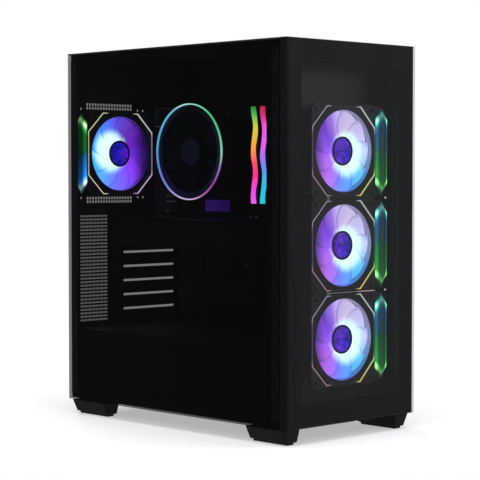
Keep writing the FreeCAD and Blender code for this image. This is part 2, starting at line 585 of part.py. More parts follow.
def make_front_ports():
    under = CASE_TOP - 1.9
    for name, x, radius in (("power_button", POWER_X, POWER_R), ("reset_button", RESET_X, RESET_R)):
        cap = rod(radius, (x, PORTS_Y, under), (0, 0, 1), TOP - under)
        add(name, cap.fuse(rod(radius + 1.4, (x, PORTS_Y, under), (0, 0, 1), 1.5)))
    board_z = CASE_TOP - 14.0
    board = box(AUDIO_X - 8, POWER_X + 11, PORTS_Y - 9, PORTS_Y + 9, board_z, board_z + 1.6)
    for x, travel in ((POWER_X, POWER_TRAVEL), (RESET_X, RESET_TRAVEL)):
        top = under - travel - MOVING_GAP
        board = board.fuse(rod(2.0, (x, PORTS_Y, board_z + 1), (0, 0, 1), top - board_z - 1))
    ports = [board]
    for x in USB_X:
        shell = box(x - 6.6, x + 6.6, PORTS_Y - 2.9, PORTS_Y + 2.9, board_z + 1.6, TOP - 0.3)
        shell = shell.cut(box(x - 6.1, x + 6.1, PORTS_Y - 2.4, PORTS_Y + 2.4, TOP - 11, TOP + 1))
        ports.append(shell.fuse(box(x - 5.5, x + 5.5, PORTS_Y - 2.0, PORTS_Y - 0.2,
                                    board_z + 2, TOP - 1.5)))
    shell = box(USB_C_X - 4.5, USB_C_X + 4.5, PORTS_Y - 1.6, PORTS_Y + 1.6,
                board_z + 1.6, TOP - 0.3)
    shell = shell.cut(box(USB_C_X - 4.1, USB_C_X + 4.1, PORTS_Y - 1.2, PORTS_Y + 1.2,
                          TOP - 8, TOP + 1))
    ports.append(shell.fuse(box(USB_C_X - 3.3, USB_C_X + 3.3, PORTS_Y - 0.35, PORTS_Y + 0.35,
                                board_z + 2, TOP - 1.5)))
    ports.append(tube(3.0, JACK_R, (AUDIO_X, PORTS_Y, board_z + 1.6), (0, 0, 1),
                      TOP - 0.3 - board_z - 1.6))
    add("front_port_module", group(ports))


# -------------------------------------------------- motherboard and what it holds
def make_motherboard():
    f = BOARD_FACE
    holes = [(BOARD_BACK - d, BOARD_TOP - h, 2.0) for d in (10, 110, BOARD_DEPTH - 8)
             for h in (10, 178, BOARD_HEIGHT - 10)]
    add("motherboard", sheet("x", f, BOARD_THICK,
                             rectangle(BOARD_FRONT, BOARD_BACK, BOARD_Z, BOARD_TOP), [], holes))
    posts = [tube(3.0, 1.4, (f + BOARD_THICK, y, z), (1, 0, 0), STANDOFF) for y, z, r in holes]
    screws = []
    for y, z, r in holes:
        screws.append(rod(3.0, (f - 1.8, y, z), (1, 0, 0), 1.8))
        screws.append(rod(1.35, (f - 0.5, y, z), (1, 0, 0), BOARD_THICK + 5.0))
    screws = [fused(screws[i:i + 2]) for i in range(0, len(screws), 2)]
    add("board_standoffs_and_screws", group(posts + screws))

    # Card sockets, memory sockets, power header and processor socket.
    sockets = []
    for z in SLOT_Z[::-2]:
        plane = z + SLOT_TO_CARD
        body = box(f - 11, f, BOARD_BACK - 150, BOARD_BACK - 60, plane - 3.5, plane + 3.5)
        sockets.append(body.cut(box(f - 12, f - 3, BOARD_BACK - 148, BOARD_BACK - 62,
                                    plane - 1.1, plane + 1.1)))
    for i in range(4):
        y = MEMORY_Y[0] + MEMORY_PITCH * (1 - i)
        body = box(f - 5, f, y - 3.4, y + 3.4, MEMORY_Z - 70, MEMORY_Z + 68)
        if i % 2 == 1:
            body = body.cut(box(f - 6, f - 1, y - 0.9, y + 0.9, MEMORY_Z - 67.2, MEMORY_Z + 67.2))
        sockets.append(body)
    sockets.append(box(f - 13, f, BOARD_FRONT + 1, BOARD_FRONT + 9, BOARD_Z + 165, BOARD_Z + 217))
    sockets.append(box(f - 3.5, f, COOLER_Y - 24, COOLER_Y + 24, COOLER_Z - 24, COOLER_Z + 24))
    add("board_sockets", group(sockets))

    # Finned heat sinks round the processor, and a flat one on the chipset.
    sinks = []
    for y0, y1, z0, z1, height in (
            (COOLER_Y + 30, COOLER_Y + 54, COOLER_Z - 42, COOLER_Z + 46, 24),
            (COOLER_Y - 40, COOLER_Y + 26, COOLER_Z + 30, COOLER_Z + 49, 20)):
        sink = box(f - height, f, y0, y1, z0, z1)
        grooves = [box(f - height - 1, f - 6, y0 - 1, y1 + 1, z, z + 3)
                   for z in spaced(z0 + 4, z1 - 7, int((z1 - z0) / 8))]
        sinks.append(cut(sink, grooves))
    sinks.append(box(f - 7, f, BOARD_FRONT + 14, BOARD_FRONT + 62, BOARD_Z + 20, BOARD_Z + 74))
    add("board_heat_sinks", group(sinks))

    # Port block behind the rear window, with its pressed shield.
    z0 = BOARD_TOP + 1.5 - IO_HEIGHT
    ports, holes = [], []
    port_plan = ((8, 14, 17), (30, 32, 17), (68, 14, 31), (88, 14, 31), (108, 16, 17), (132, 22, 36))
    for start, tall, wide in port_plan:
        a0, a1 = f - 2 - wide, f - 2
        b0, b1 = z0 + start, z0 + start + tall
        shell = box(a0, a1, BOARD_BACK - 22, CASE_BACK + 0.6, b0, b1)
        ports.append(shell.cut(box(a0 + 1.5, a1 - 1.5, CASE_BACK - 11, CASE_BACK + 1,
                                   b0 + 1.5, b1 - 1.5)))
        holes.append(rectangle(a0 - 0.3, a1 + 0.3, b0 - 0.3, b1 + 0.3))
    shield = sheet("y", REAR_INNER + 0.1, 0.8,
                   rectangle(f + 2.4 - IO_WIDTH, f + 2.2, z0 + 0.1, z0 + IO_HEIGHT - 0.1), holes)
    add("rear_ports_and_shield", group(ports + [shield]))


def make_cooler():
    f = BOARD_FACE
    y, z = COOLER_Y, COOLER_Z
    plate = rod(25, (f - 9.5, y, z), (1, 0, 0), 6.0)
    pieces = [plate, rod(16, (RING_X + 24, y, z), (1, 0, 0), f - 8 - RING_X - 24)]
    for i in range(36):
        fin = box(RING_X + 24, f - COOLER_CLEAR, 14, COOLER_FAN_R - 1, -0.5, 0.5)
        fin.rotate(Vector(0, 0, 0), Vector(1, 0, 0), 10.0 * i)
        fin.translate(Vector(0, y, z))
        pieces.append(fin)
    # Radial fins reach out from a copper core; the rim clips to their ends.
    add("cooler_heat_sink", fused(pieces))
    ring_depth = 23.0
    duct = tube(COOLER_RING_R - 1.0, COOLER_FAN_R + 1.5, (RING_X + 2.5, y, z), (1, 0, 0),
                ring_depth)
    mount = rod(17.0, (RING_X + 21, y, z), (1, 0, 0), 3.0)
    pieces = [duct, mount]
    for i in range(4):
        strut = box(RING_X + 21, RING_X + 24, 15, COOLER_FAN_R + 3, -2, 2)
        strut.rotate(Vector(0, 0, 0), Vector(1, 0, 0), 90 * i + 45)
        strut.translate(Vector(0, y, z))
        pieces.append(strut)
    pieces.append(rod(4.2, (RING_X + 9, y, z), (1, 0, 0), 13))
    shroud = fused(pieces)
    shroud = shroud.cut(rod(SHAFT_R + SHAFT_GAP, (RING_X + 8, y, z), (1, 0, 0), 15.2))
    add("cooler_fan_frame", shroud)
    add("cooler_light_ring", tube(COOLER_RING_R, COOLER_RING_R - 3.0, (RING_X - 0.5, y, z),
                                  (1, 0, 0), 3.0))
    rotor = fan_rotor(20.0, COOLER_FAN_R, 16.0, 11, 15.0, 32.0, 17.5)
    add("cooler_fan_rotor", laid(rotor, (1, 0, 0), (RING_X + 3.5, y, z)))


def make_memory():
    f = BOARD_FACE
    sticks, lights = [], []
    top = f - 4.5 - MEMORY_HEIGHT
    half = MEMORY_LENGTH / 2
    for y in MEMORY_Y:
        card = box(top + 8, f - 2, y - 0.7, y + 0.7, MEMORY_Z - 66.6, MEMORY_Z + 66.6)
        spreader = box(top + 8, f - 8, y - MEMORY_THICK / 2, y + MEMORY_THICK / 2,
                       MEMORY_Z - half, MEMORY_Z + half)
        sticks.append(card.fuse(spreader))
        # The light strip along the top edge runs in a shallow wave.
        waves = [(MEMORY_Z - half + 2 + (MEMORY_LENGTH - 4) * i / 12.0,
                  1.1 * sin(2 * pi * i / 6.0)) for i in range(13)]
        outline = [(y - 2.0 + s, z) for z, s in waves] + [(y + 2.0 + s, z) for z, s in waves[::-1]]
        lights.append(sheet("x", top, 8.0, outline))
    add("memory_sticks", group(sticks))
    add("memory_light_strips", group(lights))


def make_graphics_card():
    x0, x1, y0, y1 = CARD_X0, CARD_X1, CARD_Y0, CARD_Y1
    pcb = CARD_PCB_Z
    board = box(x0 + 4, x1, y0 + 4, y1, pcb - 0.8, pcb + 0.8)
    edge = box(x1, BOARD_FACE - 4, BOARD_BACK - 147, BOARD_BACK - 63, pcb - 0.8, pcb + 0.8)
    tail = box(TAB_X + 12, x1, y1, REAR_INNER - 1.2, pcb - 0.8, pcb + 0.8)
    sockets = [box(u, u + 16, REAR_INNER - 14, REAR_INNER - 1.1, pcb - 6.5, pcb - 1.2)
               for u in spaced(TAB_X + 16, x1 - 20, 4)]
    add("graphics_card_board", fused([board, edge, tail] + sockets))
    vents = [rectangle(x0 + 20, x1 - 20, y, y + 5) for y in spaced(y0 + 14, y0 + 60, 5)]
    add("graphics_card_backplate", sheet("z", pcb + 1.6, 2.0, rectangle(x0, x1, y0, y1),
                                         vents))
    outer = box(x0, x1 - 4, y0, y1, CARD_FLOOR, pcb - 1.2)
    inner = box(x0 + 2, x1 - 6, y0 + 2, y1 - 2, CARD_FLOOR + 2, pcb)
    wells = [rod(CARD_FAN_R + 2, (CARD_FAN_X, y, CARD_FLOOR - 1), (0, 0, 1), 4)
             for y in CARD_FAN_Y]
    add("graphics_card_shroud", cut(outer, [inner] + wells))
    fins = [box(x0 + 6, x1 - 10, y0 + 6, y1 - 6, pcb - 5, pcb - 0.8)]
    for y in spaced(y0 + 8, y1 - 9, 36):
        fins.append(box(x0 + 6, x1 - 10, y, y + 1.0, CARD_FLOOR + 15, pcb - 4.5))
    for y in CARD_FAN_Y:
        fins.append(rod(5.0, (CARD_FAN_X, y, CARD_FLOOR + 5.5), (0, 0, 1), 12))
    sink = fused(fins)
    bores = [rod(SHAFT_R + SHAFT_GAP, (CARD_FAN_X, y, CARD_FLOOR + 4), (0, 0, 1), 11)
             for y in CARD_FAN_Y]
    add("graphics_card_heat_sink", cut(sink, bores))
    rotor = fan_rotor(15.0, CARD_FAN_R, 11.0, 11, 9.0, 20.0, 12.0)
    for i, y in enumerate(CARD_FAN_Y):
        add("graphics_card_fan_%d" % (i + 1),
            laid(rotor, (0, 0, 1), (CARD_FAN_X, y, CARD_FLOOR + 1.5)))
    # Two-slot bracket with vents and display sockets.
    b0, b1 = REAR_INNER - 1.0, REAR_INNER - 0.1
    z0, z1 = CARD_SLOTS[0] - 9.2, CARD_SLOTS[1] + 9.2
    vents = [rectangle(u, u + 8, z0 + 6, z0 + 18) for u in spaced(SLOT_X0, SLOT_X1 - 12, 8)]
    plate = sheet("y", b0, b1 - b0, rectangle(TAB_X, SLOT_X1 + 8, z0, z1), vents)
    tab = box(TAB_X - 1.2, TAB_X, REAR_INNER - 11.5, b1, z0, z1)
    add("graphics_card_bracket", fused([plate, tab]))


def make_slot_covers():
    covers = []
    b0 = REAR_INNER - 1.0
    for z in COVER_SLOTS:
        slit = rectangle(SLOT_X0 + 0.3, SLOT_X1 - 0.3, z - SLIT / 2, z + SLIT / 2)
        plate = sheet("y", b0, 0.9, rectangle(TAB_X, SLOT_X1 + 8, z - 9.2, z + 9.2), [slit])
        tab = box(TAB_X - 1.2, TAB_X, REAR_INNER - 11.5, b0 + 0.9, z - 9.2, z + 9.2)
        covers.append(fused([plate, tab]))
    add("slot_covers", group(covers))


# --------------------------------------------- power supply, drives, cables
def make_power_supply():
    x0, x1 = SUPPLY_X0, SUPPLY_X1
    y0, y1 = SUPPLY_FRONT, REAR_INNER
    z0, z1 = SUPPLY_FLOOR, SUPPLY_FLOOR + SUPPLY_HEIGHT
    shell = box(x0, x1, y0, y1, z0, z1)
    shell = shell.cut(box(x0 + 1, x1 - 1, y0 + 1, y1 - 1, z0 + 1, z1 - 1))
    inlet_x, switch_x, part_z = x1 - 27.0, x1 - 58.0, z0 + 30.0
    tools = [rod(SUPPLY_FAN_R + 3, (SUPPLY_X, SUPPLY_FAN_Y, z0 - 1), (0, 0, 1), 3)]
    tools.append(box(inlet_x - 13.8, inlet_x + 13.8, y1 - 2, y1 + 1, part_z - 10, part_z + 10))
    tools.append(box(switch_x - 7, switch_x + 7, y1 - 2, y1 + 1, part_z - 10, part_z + 10))
    tools.append(box(x0 + 30, x1 - 40, y0 - 1, y0 + 2, z0 + 40, z0 + 70))
    for u in spaced(x0 + 14, x1 - 75, 8):
        for v in spaced(z0 + 14, z1 - 14, 8):
            tools.append(box(u - 2.8, u + 2.8, y1 - 2, y1 + 1, v - 2.8, v + 2.8))
    add("power_supply_case", cut(shell, tools))

    body = box(inlet_x - 13.6, inlet_x + 13.6, y1 - 20, BACK - 1.2, part_z - 9.8, part_z + 9.8)
    body = body.cut(box(inlet_x - 12, inlet_x + 12, y1 - 15, BACK + 1, part_z - 8.2, part_z + 8.2))
    pins = [box(inlet_x + d - 1, inlet_x + d + 1, y1 - 17, y1 - 2, part_z + h - 2, part_z + h + 2)
            for d, h in ((-7, -2), (0, 2), (7, -2))]
    inlet = fused([body] + pins)

    frame = box(switch_x - 6.9, switch_x + 6.9, y1 - 12, BACK - 1.2, part_z - 9.8, part_z + 9.8)
    frame = frame.cut(box(switch_x - 5.3, switch_x + 5.3, y1 - 11, BACK + 1,
                          part_z - 8.3, part_z + 8.3))
    pin_y = y1 - 6.0
    frame = frame.cut(rod(1.25 + SHAFT_GAP, (switch_x - 6.4, pin_y, part_z), (1, 0, 0), 12.8))
    add("mains_inlet_and_switch_frame", group([inlet, frame]))
    # The rocker's face is a shallow V, shown with one side pressed in.
    profile = [(-4.0, -6.5), (5.2, -7.2), (4.0, 0.0), (5.2, 7.2), (-4.0, 6.5)]
    rocker = sheet("x", switch_x - 4.9, 9.8, [(pin_y + a, part_z + b) for a, b in profile])
    rocker = rocker.fuse(rod(1.25, (switch_x - 6.2, pin_y, part_z), (1, 0, 0), 12.4))
    rocker.rotate(Vector(switch_x, pin_y, part_z), Vector(1, 0, 0), SWITCH_TILT)
    add("power_switch_rocker", rocker)

    fan_z = z0 + 1.0
    spider = [tube(SUPPLY_FAN_R + 3.0, SUPPLY_FAN_R + 1.2, (SUPPLY_X, SUPPLY_FAN_Y, fan_z),
                   (0, 0, 1), 25.0), rod(20.0, (SUPPLY_X, SUPPLY_FAN_Y, fan_z + 21.5), (0, 0, 1), 3.5),
              rod(4.2, (SUPPLY_X, SUPPLY_FAN_Y, fan_z + 7), (0, 0, 1), 15)]
    for i in range(4):
        strut = box(18, SUPPLY_FAN_R + 2, -2, 2, fan_z + 21.5, fan_z + 25)
        strut.rotate(Vector(0, 0, 0), Vector(0, 0, 1), 90 * i + 45)
        strut.translate(Vector(SUPPLY_X, SUPPLY_FAN_Y, 0))
        spider.append(strut)
    bore = rod(SHAFT_R + SHAFT_GAP, (SUPPLY_X, SUPPLY_FAN_Y, fan_z + 6), (0, 0, 1), 17)
    spider = fused(spider).cut(bore)
    rotor = fan_rotor(FAN_HUB_R, SUPPLY_FAN_R, 17.0, 7, 15.0, 36.0, 17.0)
    add("power_supply_fan_rotor", laid(rotor, (0, 0, 1), (SUPPLY_X, SUPPLY_FAN_Y, fan_z + 2.5)))
    rings = [tube(r + 0.8, r - 0.8, (SUPPLY_X, SUPPLY_FAN_Y, z0 - 1.6), (0, 0, 1), 1.6)
             for r in (12, 22, 32, 42, 52, 60)]
    for angle in (0, 90):
        bar = box(-61, 61, -0.8, 0.8, z0 - 1.6, z0)
        bar.rotate(Vector(0, 0, 0), Vector(0, 0, 1), angle + 45)
        bar.translate(Vector(SUPPLY_X, SUPPLY_FAN_Y, 0))
        rings.append(bar)
    add("power_supply_fan_frame", group([spider, fused(rings)]))


def make_drives():
    z0 = CASE_FLOOR + SHEET
    x0, x1, y0 = TRAY_X - 162.0, TRAY_X - 1.0, FAN_WALL + 20.0
    y1 = y0 + 108.0
    shell = box(x0, x1, y0, y1, z0, z0 + 66)
    shell = shell.cut(box(x0 - 1, x1 + 1, y0 + 1.2, y1 - 1.2, z0 + 1.2, z0 + 64.8))
    windows = [box(x0 + 20, x1 - 20, y0 - 1, y1 + 1, z, z + 16) for z in (z0 + 10, z0 + 38)]
    mid = (y0 + y1) / 2
    drive = box(x0 + 6, x0 + 153, mid - 50.8, mid + 50.8, z0 + 4, z0 + 30.1)
    rail = [box(x0 + 6, x1 - 2, y, y + 1.6, z0 + 1.2, z0 + 12) for y in (mid - 52.6, mid + 51.0)]
    add("drive_cage", group([cut(shell, windows)] + rail))
    sx = TRAY_X + SHEET
    solid_state = box(sx, sx + 7, BOARD_FRONT + 30, BOARD_FRONT + 100, BOARD_Z + 40, BOARD_Z + 140)
    add("storage_drives", group([drive, solid_state]))


def bent_tube(points, radius, bend):
    """A round cable along straight runs joined by tangent arcs."""
    pts = [Vector(*p) for p in points]
    edges, start = [], pts[0]
    for before, corner, after in zip(pts, pts[1:], pts[2:]):
        u = (before - corner).normalize()
        v = (after - corner).normalize()
        half = u.getAngle(v) / 2
        reach = bend / (sin(half) / cos(half))
        a, b = corner + u * reach, corner + v * reach
        centre = corner + (u + v).normalize() * (bend / sin(half))
        middle = centre + (corner - centre).normalize() * bend
        edges.append(Part.LineSegment(start, a).toShape())
        edges.append(Part.Arc(a, middle, b).toShape())
        start = b
    edges.append(Part.LineSegment(start, pts[-1]).toShape())
    spine = Part.Wire(edges)
    profile = Part.Wire([Part.makeCircle(radius, pts[0], pts[1] - pts[0])])
    return spine.makePipeShell([profile], True, False)


def make_cables():
    """The board lead leaves its header, passes the tray and drops behind it."""
    hole_y = BOARD_FRONT - 32.0
    top = BOARD_Z + 191.0
    behind = TRAY_X + SHEET + 10.0
    out = BOARD_FACE - 13.0
    wires = []
    for k in range(4):
        h = top - 19.5 + 13.0 * k
        wires.append(bent_tube([(out, BOARD_FRONT + 5, h), (out - 16, BOARD_FRONT + 5, h),
                                (out - 16, hole_y - 10.5 + 7 * k, h),
                                (behind, hole_y - 10.5 + 7 * k, h),
                                (behind, hole_y - 10.5 + 7 * k, SHROUD_TOP + 6)], 3.0, 7.5))
    add("board_power_lead", group(wires))
    ties = [box(TRAY_X + SHEET, behind + 4.2, hole_y - 15, hole_y + 15, h, h + 3)
            .cut(box(TRAY_X, behind + 3.1, hole_y - 14, hole_y + 14, h - 1, h + 4))
            for h in (BOARD_Z + 8, BOARD_Z + 120)]
    add("cable_ties", group(ties))


make_chassis()
make_panels()
make_fans()
make_feet()
make_front_ports()
make_motherboard()
make_cooler()
make_memory()
make_graphics_card()
make_slot_covers()
make_power_supply()
make_drives()
make_cables()

os.makedirs("parts", exist_ok=True)
for name, shape in parts.items():
    if shape.isNull() or not shape.isValid():
        print("not a sound solid:", name)
    shape.exportStep("parts/%s.step" % name)
print(len(parts), "nodes")
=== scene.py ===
from math import cos, pi, radians, sin

import bmesh
import bpy
from mathutils import Matrix, Vector


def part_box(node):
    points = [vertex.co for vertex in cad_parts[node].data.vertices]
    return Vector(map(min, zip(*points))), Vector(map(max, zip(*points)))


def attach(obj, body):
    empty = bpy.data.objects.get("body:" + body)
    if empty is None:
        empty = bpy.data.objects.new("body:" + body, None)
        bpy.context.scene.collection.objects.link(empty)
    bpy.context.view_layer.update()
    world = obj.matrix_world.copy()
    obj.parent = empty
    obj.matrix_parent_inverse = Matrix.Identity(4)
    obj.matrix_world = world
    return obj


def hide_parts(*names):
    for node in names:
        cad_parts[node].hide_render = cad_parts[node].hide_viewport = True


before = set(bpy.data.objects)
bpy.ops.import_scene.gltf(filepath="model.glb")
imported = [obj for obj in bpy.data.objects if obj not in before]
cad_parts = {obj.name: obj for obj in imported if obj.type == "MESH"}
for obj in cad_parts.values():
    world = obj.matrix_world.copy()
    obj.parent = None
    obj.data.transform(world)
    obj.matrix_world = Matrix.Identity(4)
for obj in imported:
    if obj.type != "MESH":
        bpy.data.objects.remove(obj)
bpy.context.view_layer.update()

# Camera, floor and light.
# The tower stands on a pale floor that fades out, seen from its front left corner.
# The air behind it is white; what it reflects is a dim, even studio.
scene = bpy.context.scene
scene.view_settings.view_transform = "Standard"
camera = bpy.data.objects.new("camera", bpy.data.cameras.new("camera"))
camera.location = (-1.5893, -1.6506, 0.3353)
camera.rotation_euler = (radians(90 - 2.241), 0.0, radians(-44.049))
camera.data.sensor_width = 36.0
camera.data.lens = 126.71
scene.collection.objects.link(camera)
scene.camera = camera


def add_node(nodes, kind, values=None, **modes):
    """A shader node with its modes and the values of its sockets set."""
    made = nodes.new("ShaderNode" + kind)
    for mode, choice in modes.items():
        setattr(made, mode, choice)
    for socket, value in (values or {}).items():
        made.inputs[socket].default_value = value
    return made


def add_span(nodes, start, end, low, high, smooth=False):
    """A node that maps the span from start to end onto the span from low to high."""
    return add_node(nodes, "MapRange", {"From Min": start, "From Max": end, "To Min": low,
                                        "To Max": high},
                    interpolation_type="SMOOTHSTEP" if smooth else "LINEAR")


def wire(links, *runs):
    """Join sockets. Each run is a node, its output, the next node and its input."""
    for source, output, target, entry in runs:
        links.new(source.outputs[output], target.inputs[entry])


def new_finish(name, values):
    """A material with values set on its shader, and its nodes, links and shader."""
    made = bpy.data.materials.new(name)
    made.use_nodes = True
    shader = made.node_tree.nodes["Principled BSDF"]
    for socket, value in values.items():
        shader.inputs[socket].default_value = value
    return made, made.node_tree.nodes, made.node_tree.links, shader


world = bpy.data.worlds.new("studio")
scene.world = world
world.use_nodes = True
nodes, links = world.node_tree.nodes, world.node_tree.links
nodes.clear()
white_air = add_node(nodes, "Background", {"Color": (1.0, 1.0, 1.0, 1.0), "Strength": 1.0})
dim_studio = add_node(nodes, "Background", {"Color": (0.86, 0.9, 1.0, 1.0), "Strength": 0.30})
ray = add_node(nodes, "LightPath")
blend_air = add_node(nodes, "MixShader")
world_out = add_node(nodes, "OutputWorld")
wire(links, (ray, "Is Camera Ray", blend_air, 0), (dim_studio, 0, blend_air, 1),
     (white_air, 0, blend_air, 2), (blend_air, 0, world_out, 0))


def lamp(name, place, target, size, watts, colour):
    """A square soft box that faces the target."""
    made = bpy.data.objects.new(name, bpy.data.lights.new(name, "AREA"))
    made.data.size = size
    made.data.energy = watts
    made.data.color = colour
    made.location = place
    made.rotation_euler = (Vector(target) - Vector(place)).to_track_quat("-Z", "Y").to_euler()
    scene.collection.objects.link(made)


lamp("top_soft_box", (-0.3, -0.4, 2.2), (0.0, 0.0, 0.1), 1.6, 26.0, (1.0, 1.0, 1.0))
lamp("front_soft_box", (1.5, -2.2, 1.3), (0.0, -0.2, 0.3), 1.0, 16.0, (1.0, 0.98, 0.96))
lamp("front_dim_panel", (1.8, -2.09, 0.25), (0.0, -0.2, 0.25), 2.4, 3.2, (1.0, 1.0, 1.0))
lamp("left_soft_box", (-2.6, 0.4, 1.6), (-0.1, 0.0, 0.3), 0.8, 9.0, (0.95, 0.97, 1.0))
lamp("rear_soft_box", (0.9, 2.4, 1.5), (0.0, 0.2, 0.3), 1.0, 16.0, (1.0, 1.0, 1.0))

floor_mesh = bmesh.new()
floor_radius = 0.95
bmesh.ops.create_circle(floor_mesh, cap_ends=True, segments=96, radius=floor_radius)
floor_data = bpy.data.meshes.new("floor")
floor_mesh.to_mesh(floor_data)
floor_mesh.free()
floor = bpy.data.objects.new("floor", floor_data)
scene.collection.objects.link(floor)
floor_paint, nodes, links, surface = new_finish("pale_floor", {
    "Base Color": (0.82, 0.82, 0.82, 1.0), "Roughness": 0.75, "Specular IOR Level": 0.1,
    "Emission Color": (1.0, 1.0, 1.0, 1.0), "Emission Strength": 0.42})
spot = add_node(nodes, "TexCoord")
reach = add_node(nodes, "VectorMath", operation="LENGTH")
fade = add_span(nodes, 0.27, 0.50, 1.0, 0.0, smooth=True)
wire(links, (spot, "Object", reach, 0), (reach, "Value", fade, "Value"),
     (fade, "Result", surface, "Alpha"))
floor_data.materials.append(floor_paint)
floor.visible_glossy = False
floor.visible_diffuse = False


# Chassis: base pan, fan bay, board tray, shroud, roof and rear panel.
# Folded and spot-welded 1 mm steel, powder coated black inside and out.
def coated(name, colour, roughness, grain, depth, metallic=0.0, specular=0.5):
    """A finish with a fine grain: its roughness varies and its surface is slightly uneven."""
    made, nodes, links, shader = new_finish(name, {
        "Base Color": (*colour, 1.0), "Metallic": metallic, "Specular IOR Level": specular})
    place = add_node(nodes, "TexCoord")
    fine = add_node(nodes, "TexNoise", {"Scale": grain, "Detail": 3.0})
    broad = add_node(nodes, "TexNoise", {"Scale": 14.0, "Detail": 4.0})
    spread = 0.08
    matt = add_span(nodes, 0.3, 0.7, roughness - spread, roughness + spread)
    rise = add_node(nodes, "Bump", {"Strength": 0.35, "Distance": depth})
    wire(links, (place, "Object", fine, "Vector"), (place, "Object", broad, "Vector"),
         (broad, "Fac", matt, "Value"), (matt, "Result", shader, "Roughness"),
         (fine, "Fac", rise, "Height"), (rise, "Normal", shader, "Normal"))
    return made


def dress(node, finish):
    """Give a piece carried over from the frame its finish."""
    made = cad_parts[node]
    made.data.materials.clear()
    made.data.materials.append(finish)


powder_coat = coated("black_powder_coat", (0.011, 0.011, 0.012), 0.42, 1500.0, 0.00008)
inner_coat = coated("inner_powder_coat", (0.006, 0.006, 0.0065), 0.48, 1500.0, 0.00008)
for node in ("front_fan_bay", "motherboard_tray", "power_supply_shroud", "drive_cage"):
    dress(node, inner_coat)
for node in ("base_pan", "roof_plate", "rear_panel", "rear_grille", "slot_covers",
             "left_panel_strips"):
    dress(node, powder_coat)


# Side glass.
# One sheet of 4 mm tempered glass, tinted nearly black, with ground and polished edges.
# Steel strips bonded behind its front and rear edges fix it to the chassis.
def tinted(name, colour, alpha, specular, roughness):
    """Tinted glass: a see-through sheet whose polish is slightly smeared."""
    made, nodes, links, shader = new_finish(name, {
        "Base Color": (*colour, 1.0), "Specular IOR Level": specular, "Alpha": alpha})
    place = add_node(nodes, "TexCoord")
    smear = add_node(nodes, "TexNoise", {"Scale": 9.0, "Detail": 6.0})
    polish = add_span(nodes, 0.0, 1.0, roughness * 0.6, roughness * 1.6)
    wire(links, (place, "Object", smear, "Vector"), (smear, "Fac", polish, "Value"),
         (polish, "Result", shader, "Roughness"))
    return made


def add_block(solid, low, high, edge=0.0, steps=2):
    """A box between two corners, with its edges rounded."""
    low, high = Vector(low), Vector(high)
    size = high - low
    stretch = Matrix.Diagonal((size.x, size.y, size.z, 1.0))
    place = Matrix.Translation((low + high) / 2) @ stretch
    corners = bmesh.ops.create_cube(solid, size=1.0, matrix=place)["verts"]
    if edge:
        edges = list({e for v in corners for e in v.link_edges})
        bmesh.ops.bevel(solid, geom=edges, offset=edge, segments=steps, profile=0.5,
                        affect="EDGES", material=-1)


def make_piece(name, solid, finishes, body, slot, *stands_for):
    """Turn a finished bmesh into a piece that rides on its body."""
    data = bpy.data.meshes.new(name)
    bmesh.ops.recalc_face_normals(solid, faces=solid.faces)
    solid.to_mesh(data)
    solid.free()
    made = bpy.data.objects.new(name, data)
    scene.collection.objects.link(made)
    for finish in finishes:
        data.materials.append(finish)
    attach(made, body)
    if stands_for:
        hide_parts(*stands_for)
    return made


smoked_glass = tinted("smoked_glass", (0.0005, 0.0005, 0.0006), 0.58, 0.10, 0.05)
low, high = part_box("left_glass_panel")
pane = bmesh.new()
add_block(pane, low, high, 0.0008, 2)
make_piece("side_glass", pane, [smoked_glass], "left_panel", "dark_glass", "left_glass_panel")

# Front glass.
# A sheet of tempered glass with a lighter tint than the side, its edges ground.
# It is bonded to the moulded frame behind it.
clear_smoke = tinted("light_smoked_glass", (0.004, 0.004, 0.004), 0.22, 0.95, 0.04)
low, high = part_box("front_glass")
pane = bmesh.new()
add_block(pane, low, high, 0.0009, 2)
make_piece("front_glass_sheet", pane, [clear_smoke], "front_panel", "front_dark_glass",
           "front_glass")

# Front panel frame.
# Moulded ABS with a fine spark-eroded grain; air enters through its slotted right side.
grained_plastic = coated("black_grained_plastic", (0.0032, 0.0032, 0.0036), 0.5, 900.0, 0.00012,
                         specular=0.15)
dress("front_panel_frame", grained_plastic)


# Fans.
# Each 120 mm fan has a black frame with an octagonal light line, a translucent rotor
# lit from its hub, and a clear crystal bar clipped beside it.
def lights(*rows):
    """Ramp stops from rows of position, red, green and blue, with screen colours as light."""
    return [(at, tuple((c / 255.0) ** 2.2 for c in colour)) for at, *colour in rows]


def angle_ramp(nodes, links, centre, across, up, stops):
    """A ramp that runs once round a centre. Stops are (degrees, colour)."""
    place = add_node(nodes, "TexCoord")
    shift = add_node(nodes, "VectorMath", {1: centre}, operation="SUBTRACT")
    split = add_node(nodes, "SeparateXYZ")
    angle = add_node(nodes, "Math", operation="ARCTAN2")
    scale = add_node(nodes, "Math", {1: 1 / (2 * pi), 2: 1.0}, operation="MULTIPLY_ADD")
    wrap = add_node(nodes, "Math", operation="FRACT")
    ramp = add_ramp(nodes, [(a / 360.0, c) for a, c in stops])
    wire(links, (place, "Object", shift, 0), (shift, "Vector", split, 0), (split, up, angle, 0),
         (split, across, angle, 1), (angle, 0, scale, 0), (scale, 0, wrap, 0),
         (wrap, 0, ramp, "Fac"))
    return ramp, shift


def add_ramp(nodes, stops):
    """A colour ramp. Stops are (position, colour)."""
    ramp = add_node(nodes, "ValToRGB")
    elements = ramp.color_ramp.elements
    while len(elements) > 1:
        elements.remove(elements[-1])
    elements[0].position = stops[0][0]
    elements[0].color = (*stops[0][1], 1.0)
    for position, colour in stops[1:]:
        elements.new(position).color = (*colour, 1.0)
    return ramp


